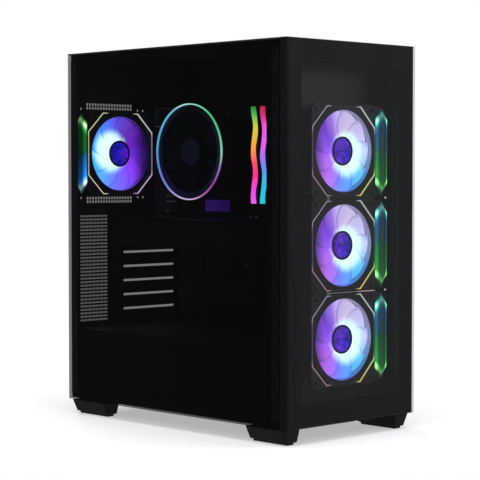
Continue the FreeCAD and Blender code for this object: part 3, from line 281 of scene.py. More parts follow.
def glowing_rotor(name, centre, stops, lean, dim_side, strength):
    """Milky blades lit from the hub, with a white crescent beside it.

    lean is the crescent's direction in degrees; dim_side is the side that fades outwards.
    """
    made, nodes, links, shader = new_finish(name, {
        "Base Color": (0.05, 0.045, 0.06, 1.0), "Roughness": 0.3, "Emission Strength": strength})
    ramp, shift = angle_ramp(nodes, links, centre, "X", "Z", stops)
    split = add_node(nodes, "SeparateXYZ")
    # Distance from a point beside the hub gives the crescent.
    beside = (cos(radians(lean)) * 0.0135, 0.0, sin(radians(lean)) * 0.0135)
    flat = add_node(nodes, "VectorMath", {1: (1.0, 0.0, 1.0)}, operation="MULTIPLY")
    crescent = add_node(nodes, "VectorMath", {1: beside}, operation="DISTANCE")
    glare = add_span(nodes, 0.0185, 0.0345, 1.0, 0.0, smooth=True)
    whiten = add_node(nodes, "Mix", {"B": (0.72, 1.15, 1.1, 1.0)}, data_type="RGBA")
    wire(links, (shift, "Vector", split, 0), (shift, "Vector", flat, 0),
         (flat, "Vector", crescent, 0), (crescent, "Value", glare, "Value"),
         (glare, "Result", whiten, "Factor"), (ramp, "Color", whiten, "A"))
    # Painted shade: each blade is darkest along its raised leading edge, fading a little behind it.
    run = add_span(nodes, -0.0028, 0.0028, 0.0, 1.0)
    blade = add_ramp(nodes, [(0.0, (0.70, 0.70, 0.84)), (0.06, (0.82, 0.82, 0.9)),
                             (0.10, (1.0, 1.0, 1.0)), (0.6, (1.0, 1.0, 1.0)),
                             (0.9, (0.95, 0.95, 0.96))])
    side = add_span(nodes, 0.050 * dim_side, 0.022 * dim_side, 0.16, 1.0, smooth=True)
    tinted_light = add_node(nodes, "VectorMath", operation="MULTIPLY")
    shade = add_node(nodes, "VectorMath", operation="SCALE")
    wire(links, (split, "Y", run, "Value"), (run, "Result", blade, "Fac"),
         (split, "X", side, "Value"), (whiten, "Result", tinted_light, 0),
         (blade, "Color", tinted_light, 1), (tinted_light, "Vector", shade, 0),
         (side, "Result", shade, "Scale"), (shade, "Vector", shader, "Emission Color"))
    return made


def lit_hub(name, centre, stops, strength):
    """The hub cap: patches of violet and deep blue light."""
    made, nodes, links, shader = new_finish(name, {
        "Base Color": (0.01, 0.008, 0.03, 1.0), "Roughness": 0.25, "Emission Strength": strength})
    ramp, _ = angle_ramp(nodes, links, centre, "X", "Z", stops)
    place = add_node(nodes, "TexCoord")
    swirl = add_node(nodes, "TexNoise", {"Scale": 150.0})
    contrast = add_span(nodes, 0.3, 0.7, 0.45, 1.5)
    shade = add_node(nodes, "VectorMath", operation="SCALE")
    wire(links, (place, "Object", swirl, "Vector"), (swirl, "Fac", contrast, "Value"),
         (ramp, "Color", shade, 0), (contrast, "Result", shade, "Scale"),
         (shade, "Vector", shader, "Emission Color"))
    return made


def add_disc(solid, centre, axis, radius, depth, steps=48, edge=0.0, tip=None, material=0):
    """A disc or cone centred on a point, along an axis, with rounded rims."""
    turn = Vector((0, 0, 1)).rotation_difference(Vector(axis)).to_matrix().to_4x4()
    place = Matrix.Translation(Vector(centre)) @ turn
    made = bmesh.ops.create_cone(solid, cap_ends=True, segments=steps, radius1=radius,
                                 radius2=radius if tip is None else tip, depth=depth,
                                 matrix=place)["verts"]
    faces = {f for v in made for f in v.link_faces}
    for face in faces:
        face.material_index = material
    if edge:
        rims = [e for e in {e for v in made for e in v.link_edges}
                if any(len(f.verts) > 4 for f in e.link_faces)]
        bmesh.ops.bevel(solid, geom=rims, offset=edge, segments=2, profile=0.5,
                        affect="EDGES", material=-1)


def add_blades(solid, count, hub_r, tip_r, span, pitch_depth, sweep, thick, matrix, cover=0.5):
    """Curved, swept blades round +Z, bent from a grid, thickened and turned round the hub."""
    sheet = bmesh.new()
    bmesh.ops.create_grid(sheet, x_segments=9, y_segments=10, size=1.0)
    for corner in sheet.verts:
        out, along = (corner.co.x + 1) / 2, corner.co.y
        radius = hub_r + (tip_r - hub_r) * out
        half = span * (cover - 0.06 + 0.1 * out)
        theta = along * half + sweep * out * out
        height = along * pitch_depth * (0.62 + 0.38 * out) + (1 - along * along) * 0.0012
        corner.co = Vector((radius * cos(theta), radius * sin(theta), height))
    bmesh.ops.solidify(sheet, geom=sheet.faces[:], thickness=thick)
    whole = sheet.verts[:] + sheet.edges[:] + sheet.faces[:]
    bmesh.ops.spin(sheet, geom=whole, cent=(0, 0, 0), axis=(0, 0, 1), dvec=(0, 0, 0),
                   angle=2 * pi * (count - 1) / count, steps=count - 1, use_duplicate=True)
    bmesh.ops.transform(sheet, matrix=matrix, verts=sheet.verts)
    held = bpy.data.meshes.new("blades")
    sheet.to_mesh(held)
    sheet.free()
    solid.from_mesh(held)
    bpy.data.meshes.remove(held)


def add_ring(solid, centre, axis, profile, steps=64):
    """Turn a closed outline of (radius, height) round an axis through a centre."""
    lathe = bmesh.new()
    corners = [lathe.verts.new((r, 0.0, h)) for r, h in profile]
    edges = [lathe.edges.new((corners[i - 1], corners[i])) for i in range(len(corners))]
    bmesh.ops.spin(lathe, geom=corners + edges, cent=(0, 0, 0), axis=(0, 0, 1),
                   dvec=(0, 0, 0), angle=2 * pi, steps=steps, use_merge=True)
    turn = Vector((0, 0, 1)).rotation_difference(Vector(axis)).to_matrix().to_4x4()
    bmesh.ops.transform(lathe, matrix=Matrix.Translation(Vector(centre)) @ turn,
                        verts=lathe.verts)
    bmesh.ops.recalc_face_normals(lathe, faces=lathe.faces)
    held = bpy.data.meshes.new("ring")
    lathe.to_mesh(held)
    lathe.free()
    solid.from_mesh(held)
    bpy.data.meshes.remove(held)


frame_plastic = coated("fan_frame_plastic", (0.007, 0.007, 0.008), 0.32, 700.0, 0.00006)
front_blades = lights((0, 190, 205, 255), (40, 186, 178, 228), (65, 190, 178, 214),
                      (95, 182, 165, 222), (112, 140, 100, 205), (135, 112, 66, 200),
                      (165, 126, 70, 222), (190, 154, 86, 240), (225, 168, 88, 222),
                      (248, 160, 105, 240), (268, 104, 125, 250), (292, 85, 160, 255),
                      (322, 88, 190, 255), (360, 190, 205, 255))
rear_blades = lights((0, 105, 45, 215), (30, 100, 35, 180), (60, 95, 50, 170), (90, 92, 70, 205),
                     (120, 80, 120, 250), (150, 50, 150, 255), (180, 42, 170, 255),
                     (215, 75, 180, 255), (240, 95, 150, 255), (265, 105, 110, 255),
                     (295, 125, 80, 250), (325, 135, 60, 245), (360, 105, 45, 215))
front_hub = lights((0, 40, 20, 140), (60, 70, 40, 190), (120, 85, 40, 175), (180, 50, 20, 150),
                   (240, 90, 35, 190), (300, 50, 30, 190), (360, 40, 20, 140))
rear_hub = lights((0, 75, 25, 170), (70, 40, 30, 170), (140, 25, 25, 160), (200, 35, 20, 150),
                  (270, 25, 30, 150), (360, 75, 25, 170))
fans = [("front_fan_frame_%d" % n, "front_fan_rotor_%d" % n, "front_fan_%d" % n, False)
        for n in (1, 2, 3)]
fans.append(("rear_fan_frame", "rear_fan_rotor", "rear_fan", True))
hub_depth = 0.0175
for frame_node, rotor_node, body, at_rear in fans:
    # The rear fan is seen through the dark side glass, so its light is stronger.
    strength = 6.2 if at_rear else 1.75
    colours, crescent, dim_side = (rear_blades, 168, 1) if at_rear else (front_blades, -18, -1)
    dress(frame_node, frame_plastic)
    low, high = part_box(frame_node)
    middle = (low + high) / 2
    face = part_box(rotor_node)[0].y
    centre = Vector((middle.x, face + 0.0053, middle.z))
    rotor = bmesh.new()
    onto = Matrix.Translation(centre) @ Matrix.Rotation(-pi / 2, 4, "X")
    add_blades(rotor, 9, 0.0182, 0.0512, 2 * pi / 9, 0.0026, 0.36, 0.0009, onto, 0.74)
    add_ring(rotor, (middle.x, face, middle.z), (0, 1, 0),
             [(0.0185, 0.001), (0.0185, hub_depth), (0.0165, hub_depth), (0.0165, 0.004),
              (0.0165, 0.0018), (0.0178, 0.0002)], 56)
    glow = glowing_rotor(body + "_glow", tuple(centre), colours, crescent, dim_side, strength)
    make_piece(body + "_blades", rotor, [glow], body, "fan_blades", rotor_node)
    cap = bmesh.new()
    add_disc(cap, (middle.x, face + 0.0022, middle.z), (0, 1, 0), 0.0163, 0.0036, 56, 0.0008)
    hub_light = lit_hub(body + "_hub_light", tuple(centre), rear_hub if at_rear else front_hub,
                        strength)
    make_piece(body + "_hub_cap", cap, [hub_light], body, "fan_blades")
    # A milky ring in the mouth of the duct carries painted light: the blades' glow on the frame.
    liner = bmesh.new()
    add_ring(liner, (middle.x, low.y, middle.z), (0, 1, 0),
             [(0.0524, 0.0003), (0.0524, 0.0075), (0.0517, 0.0075), (0.0520, 0.0003)], 72)
    painted_duct_glow = glowing_rotor(body + "_painted_duct_glow", tuple(centre), colours, crescent,
                                dim_side, strength * 0.45)
    make_piece(body + "_duct_glow_ring", liner, [painted_duct_glow], "chassis", "light_guide")
    rim = bmesh.new()
    add_ring(rim, (middle.x, face, middle.z), (0, 1, 0),
             [(0.0186, -0.0004), (0.0186, 0.0012), (0.0162, 0.0012), (0.0162, -0.0004)], 56)
    make_piece(body + "_hub_rim", rim, [frame_plastic], body, "black_plastic")


# Octagonal light lines.
# A milky strip set flush in each fan frame; its level and upright runs stay nearly unlit.
def ring_light(name, centre, across, up, stops, strength):
    """A milky light guide whose colour runs once round a centre."""
    made, nodes, links, shader = new_finish(name, {
        "Base Color": (0.02, 0.02, 0.022, 1.0), "Roughness": 0.35, "Emission Strength": strength})
    ramp, _ = angle_ramp(nodes, links, centre, across, up, stops)
    wire(links, (ramp, "Color", shader, "Emission Color"))
    return made


front_lines = lights((0, 30, 70, 55), (20, 35, 80, 60), (26, 165, 175, 175), (63, 165, 175, 175),
                     (69, 14, 14, 16), (111, 14, 14, 16), (117, 150, 140, 165),
                     (154, 150, 140, 165), (160, 80, 52, 108), (200, 78, 55, 90),
                     (206, 155, 125, 130), (243, 155, 125, 130), (249, 14, 14, 16),
                     (291, 14, 14, 16), (297, 190, 180, 95), (334, 175, 185, 130),
                     (340, 40, 85, 60), (360, 30, 70, 55))
rear_lines = lights((0, 150, 110, 140), (20, 150, 110, 140), (26, 185, 165, 165),
                    (63, 200, 190, 175), (69, 10, 9, 10), (111, 10, 9, 10), (117, 205, 205, 160),
                    (154, 205, 205, 170), (160, 180, 165, 120), (200, 180, 165, 130),
                    (206, 205, 200, 175), (243, 200, 195, 170), (249, 10, 9, 10), (291, 10, 9, 10),
                    (297, 190, 150, 190), (334, 190, 150, 190), (340, 150, 110, 140),
                    (360, 150, 110, 140))
face_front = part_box("front_fan_frame_1")[0].y
line_width = line_depth = 0.0013
for frame_node, _, body, at_rear in fans:
    low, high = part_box(frame_node)
    middle = (low + high) / 2
    face = low.y
    loop = bmesh.new()
    corners = bmesh.ops.create_circle(loop, cap_ends=True, segments=8, radius=0.0635,
                                      matrix=Matrix.Rotation(pi / 8, 4, "Z"))["verts"]
    # Straight runs joined by long cut corners, 118 mm across and 114 mm high.
    for corner in corners:
        across, rise = corner.co.x, corner.co.y
        wide = abs(across) > abs(rise)
        corner.co.x = (0.0589 if wide else 0.032) * (1 if across > 0 else -1)
        corner.co.y = (0.0305 if wide else 0.0572) * (1 if rise > 0 else -1)
    bmesh.ops.inset_region(loop, faces=loop.faces[:], thickness=line_width, use_boundary=True,
                           use_even_offset=True)
    inside = max(loop.faces, key=lambda f: len(f.verts))
    bmesh.ops.delete(loop, geom=[inside], context="FACES_ONLY")
    bmesh.ops.solidify(loop, geom=loop.faces[:], thickness=line_depth)
    onto = Matrix.Translation((middle.x, face - 0.0001, middle.z))
    bmesh.ops.transform(loop, matrix=onto @ Matrix.Rotation(pi / 2, 4, "X"), verts=loop.verts)
    low_y = min(v.co.y for v in loop.verts)
    bmesh.ops.translate(loop, verts=loop.verts, vec=(0, face - 0.0002 - low_y, 0))
    lit = ring_light(body + "_line_light", (middle.x, face, middle.z), "X", "Z",
                     rear_lines if at_rear else front_lines, 5.6 if at_rear else 1.6)
    stands_for = ["fan_light_lines"] if body == "front_fan_1" else []
    make_piece(body + "_light_line", loop, [lit], "chassis", "light_guide", *stands_for)


# Painted glints on small contacts at each joint of the stacked fans and a thin seam on the lower
# one.
joints = (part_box("front_fan_frame_1")[1].z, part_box("front_fan_frame_2")[1].z)
contact_columns = (-0.0295, 0.0798)
for number, z in enumerate(joints, 1):
    contacts = bmesh.new()
    for x in contact_columns:
        add_block(contacts, (x - 0.0014, face_front - 0.0004, z - 0.0012),
                  (x + 0.0014, face_front + 0.0004, z + 0.0012), 0.0005)
    if number == 1:
        add_block(contacts, (-0.029, face_front - 0.0002, z - 0.0004),
                  (0.0595, face_front + 0.0003, z + 0.0004), 0.0001, 1)
    # Painted glints: the contacts and the seam glow as if they caught the light.
    painted_contact_glint = ring_light("contact_light_%d" % number, (0.025, face_front, z), "X", "Z",
                               lights((0, 190, 165, 175), (60, 95, 90, 100),
                                      (180, 110, 105, 115), (300, 95, 90, 100),
                                      (360, 190, 165, 175)), 1.6)
    make_piece("fan_contacts_%d" % number, contacts, [painted_contact_glint], "chassis", "light_guide")


# Crystal light bars.
# Clear acrylic prisms with pointed ends, clipped beside each fan and lit from both tips.
def crystal(name, centre, across, stops, strength):
    """Clear acrylic: bright along its edges and chevrons, deep in the middle."""
    made, nodes, links, shader = new_finish(name, {
        "Base Color": (0.02, 0.03, 0.035, 1.0), "Roughness": 0.08, "Coat Weight": 0.5,
        "Emission Strength": strength})
    place = add_node(nodes, "TexCoord")
    shift = add_node(nodes, "VectorMath", {1: centre}, operation="SUBTRACT")
    split = add_node(nodes, "SeparateXYZ")
    width = add_node(nodes, "Math", operation="ABSOLUTE")
    # The bands of light follow the slanted ends, so they bend to a chevron towards each tip.
    half = add_node(nodes, "Math", operation="SIGN")
    slant = add_node(nodes, "Math", operation="MULTIPLY")
    bent = add_node(nodes, "Math", operation="ADD")
    run = add_span(nodes, -0.057, 0.057, 0.0, 1.0)
    ramp = add_ramp(nodes, stops)
    edge = add_span(nodes, 0.0052, 0.0096, 0.30, 1.7, smooth=True)
    shade = add_node(nodes, "VectorMath", operation="SCALE")
    wire(links, (place, "Object", shift, 0), (shift, "Vector", split, 0),
         (split, across, width, 0), (split, "Z", half, 0), (width, 0, slant, 0),
         (half, 0, slant, 1), (slant, 0, bent, 0), (split, "Z", bent, 1),
         (bent, 0, run, "Value"), (run, "Result", ramp, "Fac"), (width, 0, edge, "Value"),
         (ramp, "Color", shade, 0), (edge, "Result", shade, "Scale"),
         (shade, "Vector", shader, "Emission Color"))
    return made


front_stops = lights((0.0, 15, 90, 50), (0.035, 30, 120, 60), (0.06, 150, 255, 150),
                     (0.085, 120, 235, 120), (0.12, 24, 130, 45), (0.30, 14, 105, 45),
                     (0.50, 12, 85, 70), (0.68, 14, 75, 95), (0.80, 14, 70, 115),
                     (0.86, 20, 100, 125), (0.90, 60, 190, 180), (0.93, 165, 255, 235),
                     (0.955, 80, 200, 190), (0.975, 16, 95, 100), (1.0, 10, 70, 80))
rear_stops = lights((0.0, 10, 60, 60), (0.035, 90, 170, 180), (0.06, 230, 250, 255),
                    (0.09, 100, 185, 250), (0.14, 30, 110, 205), (0.28, 20, 90, 150),
                    (0.45, 12, 60, 75), (0.62, 12, 75, 35), (0.82, 15, 80, 30),
                    (0.88, 50, 150, 70), (0.93, 215, 250, 190), (0.955, 70, 170, 80),
                    (0.975, 10, 80, 30), (1.0, 8, 50, 22))
bar_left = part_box("fan_light_bars")[0].x
front_bar_x = (0.0637 + 0.0867) / 2
rear_bar_y = 0.2005
half_width, tip_height, shoulder_height = 0.0108, 0.0560, 0.0405
for frame_node, _, body, at_rear in fans:
    low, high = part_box(frame_node)
    middle = (low + high) / 2
    bar = bmesh.new()
    bmesh.ops.create_circle(bar, cap_ends=True, segments=6, radius=0.05)
    # A long hexagon with pointed ends, then two bevelled steps up to the narrow crown.
    for corner in bar.verts:
        side, rise = corner.co.x, corner.co.y
        pointed = abs(side) < 0.0005
        corner.co.x = 0.0 if pointed else half_width * (1 if side > 0 else -1)
        corner.co.y = (tip_height if pointed else shoulder_height) * (1 if rise > 0 else -1)
    grown = bmesh.ops.extrude_face_region(bar, geom=bar.faces[:])["geom"]
    crown = [g for g in grown if isinstance(g, bmesh.types.BMFace)]
    bmesh.ops.translate(bar, verts=[v for v in grown if isinstance(v, bmesh.types.BMVert)],
                        vec=(0, 0, 0.0019))
    for thickness, depth in ((0.0032, 0.0015), (0.0032, 0.0012)):
        bmesh.ops.inset_region(bar, faces=crown, thickness=thickness, depth=depth,
                               use_even_offset=True)
    if at_rear:
        place = Matrix.Translation((bar_left + 0.0049, rear_bar_y, middle.z))
        place = place @ Matrix.Rotation(-pi / 2, 4, "Z") @ Matrix.Rotation(pi / 2, 4, "X")
        across = "Y"
        centre = (bar_left + 0.0025, rear_bar_y, middle.z)
    else:
        place = Matrix.Translation((front_bar_x, -0.1931, middle.z))
        place = place @ Matrix.Rotation(pi / 2, 4, "X")
        across = "X"
        centre = (front_bar_x, -0.1955, middle.z)
    bmesh.ops.transform(bar, matrix=place, verts=bar.verts)
    lit = crystal(body + "_bar_light", centre, across, rear_stops if at_rear else front_stops,
                  6.2 if at_rear else 1.7)
    stands_for = ["fan_light_bars"] if body == "front_fan_1" else []
    make_piece(body + "_light_bar", bar, [lit], "chassis", "light_guide", *stands_for)
dress("light_bar_holders", frame_plastic)


# Screws.
# Zinc-plated steel with a cross recess. They hold the fans and the covers of the card slots.
def plated(name, colour, roughness):
    """Plated metal, nearly smooth."""
    return coated(name, colour, roughness, 1900.0, 0.00002, metallic=1.0)


dress("fan_and_slot_screws", plated("zinc_plate", (0.62, 0.62, 0.64), 0.3))


# Motherboard.
# A black fibreglass board with copper traces under its lacquer, on brass standoffs.
# Chokes and capacitors stand round the processor; chips and small parts fill the rest.
def lacquered_board(name, base, trace):
    """Fibreglass under lacquer, with runs of copper and small solder pads."""
    made, nodes, links, shader = new_finish(name, {"Roughness": 0.38, "Coat Weight": 0.25})
    place = add_node(nodes, "TexCoord")
    lay = add_node(nodes, "Mapping", {"Rotation": (0.0, pi / 2, 0.0)})
    runs = add_node(nodes, "TexBrick", {
        "Scale": 60.0, "Mortar Size": 0.012, "Brick Width": 0.9, "Row Height": 0.12,
        "Color1": (*base, 1.0), "Color2": (*[c * 1.35 for c in base], 1.0),
        "Mortar": (*trace, 1.0)})
    pads = add_node(nodes, "TexVoronoi", {"Scale": 260.0})
    dots = add_node(nodes, "Math", {1: 0.13}, operation="LESS_THAN")
    mixed = add_node(nodes, "Mix", {"B": (0.22, 0.2, 0.16, 1.0)}, data_type="RGBA")
    wire(links, (place, "Object", lay, "Vector"), (lay, "Vector", runs, "Vector"),
         (place, "Object", pads, "Vector"), (pads, "Distance", dots, 0),
         (dots, 0, mixed, "Factor"), (runs, "Color", mixed, "A"),
         (mixed, "Result", shader, "Base Color"))
    return made


board_lacquer = lacquered_board("board_lacquer", (0.008, 0.009, 0.011), (0.02, 0.022, 0.026))
dress("motherboard", board_lacquer)
dress("board_standoffs_and_screws", plated("brass", (0.6, 0.42, 0.16), 0.32))
socket_plastic = coated("socket_plastic", (0.016, 0.016, 0.018), 0.4, 800.0, 0.00005)
dress("board_sockets", socket_plastic)
sink_metal = coated("anodised_sink", (0.035, 0.036, 0.04), 0.34, 2400.0, 0.00003, metallic=0.9)
dress("board_heat_sinks", sink_metal)
board_low, board_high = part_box("motherboard")
board_face = board_low.x
chip_black = coated("chip_black", (0.012, 0.012, 0.012), 0.55, 2600.0, 0.00003)
can_metal = plated("capacitor_can", (0.5, 0.5, 0.52), 0.28)
ferrite = coated("ferrite", (0.05, 0.05, 0.052), 0.6, 1800.0, 0.00006)
gold = plated("gold_plate", (0.85, 0.6, 0.25), 0.25)

chokes = bmesh.new()
for step in range(7):
    z = 0.3285 + 0.0118 * step
    add_block(chokes, (board_face - 0.006, 0.135, z), (board_face, 0.1425, z + 0.0088), 0.0008)
for step in range(5):
    y = 0.078 + 0.0125 * step
    add_block(chokes, (board_face - 0.006, y, 0.3925), (board_face, y + 0.0088, 0.3955), 0.0006)
make_piece("board_chokes", chokes, [ferrite], "chassis", "circuit_board")

can_radius, can_height = 0.0031, 0.0084
cans = bmesh.new()
places = [(0.131, 0.331 + 0.0118 * n) for n in range(6)]
places += [(-0.012, 0.140), (0.002, 0.140), (0.170, 0.160), (0.182, 0.160), (0.194, 0.160),
           (0.170, 0.172), (0.182, 0.172), (0.035, 0.275), (0.047, 0.275), (0.020, 0.238),
           (-0.020, 0.352), (-0.020, 0.362), (0.055, 0.205), (0.190, 0.218)]
for y, z in places:
    add_disc(cans, (board_face - can_height / 2, y, z), (-1, 0, 0), can_radius, can_height, 20,
             0.0004)
make_piece("board_capacitors", cans, [can_metal], "chassis", "circuit_board")

chips = bmesh.new()
places = [(0.160, 0.205, 0.009), (0.030, 0.212, 0.006), (0.048, 0.166, 0.005),
          (0.178, 0.245, 0.006), (0.160, 0.256, 0.004), (-0.022, 0.215, 0.006),
          (0.020, 0.255, 0.004), (0.036, 0.130, 0.0035), (0.010, 0.128, 0.003),
          (0.062, 0.168, 0.004), (0.188, 0.188, 0.004), (0.030, 0.420, 0.004)]
for y, z, half in places:
    add_block(chips, (board_face - 0.0013, y - half, z - half),
              (board_face, y + half, z + half), 0.0002, 1)
make_piece("board_chips", chips, [chip_black], "chassis", "circuit_board")

# A flat heat sink for the solid-state card, with a violet edge light.
flat_sink = bmesh.new()
add_block(flat_sink, (board_face - 0.0075, 0.062, 0.2785), (board_face - 0.0005, 0.146, 0.3005),
          0.0009)
make_piece("card_drive_sink", flat_sink, [sink_metal], "chassis", "anodised_aluminium")
sink_light = bmesh.new()
add_block(sink_light, (board_face - 0.0083, 0.090, 0.2815), (board_face - 0.0074, 0.141, 0.2980),
          0.0003, 1)
violet_film = ring_light("violet_film", (board_face, 0.112, 0.290), "Y", "Z",
                         lights((0, 44, 24, 92), (180, 36, 16, 76), (360, 44, 24, 92)), 4.5)
make_piece("card_drive_light", sink_light, [violet_film], "chassis", "light_guide")

# Small resistors and capacitors in rows beside their chips.
grains = bmesh.new()
for row_y, row_z, across, down in ((0.148, 0.190, 8, 2), (0.022, 0.200, 6, 3), (0.010, 0.264, 9, 2),
                                   (0.160, 0.240, 7, 2), (-0.028, 0.235, 3, 6),
                                   (0.024, 0.300, 3, 9), (0.040, 0.408, 8, 2),
                                   (0.150, 0.132, 9, 2), (0.060, 0.300, 12, 2)):
    for i in range(across):
        for j in range(down):
            y, z = row_y + 0.0032 * i, row_z + 0.0046 * j
            add_block(grains, (board_face - 0.0006, y, z), (board_face, y + 0.0016, z + 0.0008))
make_piece("board_small_parts", grains, [ferrite], "chassis", "circuit_board")

pin_pitch = 0.00254
headers = bmesh.new()
for first_y, z, count in ((-0.020, 0.1285, 9), (0.075, 0.1285, 10), (0.120, 0.1285, 8),
                          (-0.015, 0.4255, 4), (0.120, 0.4235, 8)):
    for i in range(count):
        y = first_y + pin_pitch * i
        add_block(headers, (board_face - 0.0085, y, z), (board_face, y + 0.0006, z + 0.0006))
make_piece("board_header_pins", headers, [gold], "chassis", "plated_steel")


# Processor cooler.
# A round aluminium sink with a copper core, a fan, and a lit ring round its outer rim.
ring_low, ring_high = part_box("cooler_light_ring")
ring_middle = (ring_low + ring_high) / 2
ring_stops = lights((0, 150, 225, 195), (25, 90, 215, 150), (50, 75, 215, 150),
                    (75, 150, 240, 215), (95, 205, 245, 250), (115, 120, 215, 235),
                    (140, 95, 190, 240), (180, 95, 165, 235), (205, 105, 140, 230),
                    (232, 140, 145, 235), (258, 220, 195, 250), (275, 235, 210, 255),
                    (295, 190, 110, 200), (318, 165, 60, 170), (340, 150, 120, 190),
                    (360, 150, 225, 195))
# Its light is seen from the glass side, where the front is to the right.
mirrored = sorted(((180 - angle) % 360, colour) for angle, colour in ring_stops[:-1])
mirrored = [(0, mirrored[0][1])] + mirrored + [(360, mirrored[0][1])]
ring_material = ring_light("cooler_ring_light", tuple(ring_middle), "Y", "Z", mirrored, 4.4)
hoop = bmesh.new()
add_ring(hoop, (ring_low.x, ring_middle.y, ring_middle.z), (1, 0, 0),
         [(0.0680, 0.0008), (0.0680, 0.0029), (0.0664, 0.0029), (0.0664, 0.0008),
          (0.0667, 0.0001), (0.0677, 0.0001)], 96)
make_piece("cooler_ring", hoop, [ring_material], "chassis", "light_guide", "cooler_light_ring")
dress("cooler_fan_frame", frame_plastic)
dress("cooler_heat_sink", coated("cast_fins", (0.28, 0.28, 0.3), 0.4, 2400.0, 0.00003,
                                 metallic=0.85))


def add_hub(solid, centre, axis, radius, bore, tall, floor):
    """A rotor's hub: a cup closed at its face, with a broken edge."""
    add_ring(solid, centre, axis,
             [(radius, 0.0008), (radius, tall), (bore, tall), (bore, floor), (0.0, floor),
              (0.0, 0.0002), (radius - 0.0008, 0.0002)], 48)


blade_black = coated("black_blades", (0.004, 0.004, 0.005), 0.4, 600.0, 0.00004, specular=0.15)
rotor_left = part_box("cooler_fan_rotor")[0].x
rotor = bmesh.new()
centre = Vector((rotor_left + 0.008, ring_middle.y, ring_middle.z))
onto = Matrix.Translation(centre) @ Matrix.Rotation(pi / 2, 4, "Y")
add_blades(rotor, 11, 0.0192, 0.0556, 2 * pi / 11, 0.0066, 0.30, 0.0011, onto)
add_hub(rotor, (rotor_left, ring_middle.y, ring_middle.z), (1, 0, 0),
        0.02, 0.018, 0.0158, 0.0022)
make_piece("cooler_blades", rotor, [blade_black], "cooler_fan", "fan_blades", "cooler_fan_rotor")


# Memory.
# Two modules with folded black aluminium spreaders. The light strip along each free edge
# is moulded in a shallow wave and shifts colour along its length.
spreader_metal = coated("spreader_metal", (0.014, 0.014, 0.016), 0.36, 2200.0, 0.00003,
                        metallic=0.7)
stick_low, stick_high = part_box("memory_sticks")
strip_low, strip_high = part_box("memory_light_strips")


def strip_light(name, stops, strength):
    """A diffuser strip: its colour runs from the lower end to the upper end."""
    made, nodes, links, shader = new_finish(name, {
        "Base Color": (0.05, 0.05, 0.055, 1.0), "Roughness": 0.35, "Emission Strength": strength})
    place = add_node(nodes, "TexCoord")
    split = add_node(nodes, "SeparateXYZ")
    run = add_span(nodes, strip_low.z, strip_high.z, 0.0, 1.0)
    ramp = add_ramp(nodes, stops)
    wire(links, (place, "Object", split, 0), (split, "Z", run, "Value"),
         (run, "Result", ramp, "Fac"), (ramp, "Color", shader, "Emission Color"))
    return made


strip_colours = [
    lights((0.0, 235, 90, 235), (0.10, 220, 80, 230), (0.28, 255, 50, 150), (0.42, 250, 70, 100),
           (0.60, 250, 160, 60), (0.78, 200, 200, 60), (0.92, 70, 180, 80), (1.0, 40, 120, 60)),
    lights((0.0, 40, 190, 210), (0.20, 40, 190, 220), (0.36, 90, 140, 240), (0.47, 150, 110, 240),
           (0.62, 230, 90, 240), (0.80, 240, 80, 220), (0.90, 205, 50, 110), (1.0, 180, 40, 70))]
spreader_reach, rib_pitch = 0.0345, 0.0146
for number, y in enumerate((stick_high.y - 0.0035, stick_low.y + 0.0035), 1):
    stick = bmesh.new()
    add_block(stick, (stick_low.x, y - 0.0034, stick_low.z),
              (stick_low.x + spreader_reach, y + 0.0034, stick_high.z), 0.0007)
    # Raised ribs pressed into both faces of the spreader.
    for rib in range(9):
        z = stick_low.z + 0.010 + rib_pitch * rib
        add_block(stick, (stick_low.x + 0.004, y - 0.0036, z),
                  (stick_low.x + 0.030, y + 0.0036, z + 0.0050), 0.0003, 1)
    make_piece("memory_spreader_%d" % number, stick, [spreader_metal], "chassis",
               "anodised_aluminium", *(["memory_sticks"] if number == 1 else []))
    card = bmesh.new()
    add_block(card, (stick_low.x + 0.034, y - 0.0006, stick_low.z + 0.002),
              (stick_high.x, y + 0.0006, stick_high.z - 0.002), 0.0002, 1)
    make_piece("memory_card_%d" % number, card, [board_lacquer], "chassis", "circuit_board")
    guide = bmesh.new()
    bmesh.ops.create_grid(guide, x_segments=1, y_segments=48, size=0.5)
    for corner in guide.verts:
        along = corner.co.y + 0.5
        z = strip_low.z + (strip_high.z - strip_low.z) * along
        swing = 0.0021 * sin(4.3 * pi * along + (0.5 if number == 1 else 1.1))
        pinch = 0.00105 + 0.0003 * cos(8.6 * pi * along)
        corner.co = Vector((strip_high.x, y + swing + pinch * 2 * corner.co.x, z))
    whole = bmesh.ops.extrude_face_region(guide, geom=guide.faces[:])["geom"]
    bmesh.ops.translate(guide, verts=[g for g in whole if isinstance(g, bmesh.types.BMVert)],
                        vec=(strip_low.x - strip_high.x + 0.0002, 0, 0))
    rims = [e for e in guide.edges if abs(e.verts[0].co.x - e.verts[1].co.x) < 1e-6
            and e.verts[0].co.x < strip_high.x - 0.005 and len(e.link_faces) == 2
            and abs(e.calc_face_angle(0.0)) > 1.0]
    bmesh.ops.bevel(guide, geom=rims, offset=0.0006, segments=2, profile=0.5, affect="EDGES",
                    material=-1)
    lit = strip_light("memory_light_%d" % number, strip_colours[number - 1], 6.0)
    make_piece("memory_strip_%d" % number, guide, [lit], "chassis", "light_guide",
               *(["memory_light_strips"] if number == 1 else []))


# Memory latches.
# Pale moulded levers at both ends of every socket; they turn outwards to free a module.
latch_plastic = coated("latch_plastic", (0.42, 0.42, 0.44), 0.45, 900.0, 0.00004)
latches = bmesh.new()
socket_pitch = (stick_high.y - stick_low.y - 0.007) / 2
for place in range(4):
    y = stick_high.y - 0.0035 + socket_pitch * (1 - place)
    for end, way in ((stick_low.z, -1), (stick_high.z, 1)):
        near, far = sorted((end + 0.0006 * way, end + 0.0046 * way))
        add_block(latches, (stick_high.x - 0.012, y - 0.0022, near),
                  (stick_high.x + 0.0012, y + 0.0022, far), 0.0008)
make_piece("memory_latches", latches, [latch_plastic], "chassis", None)


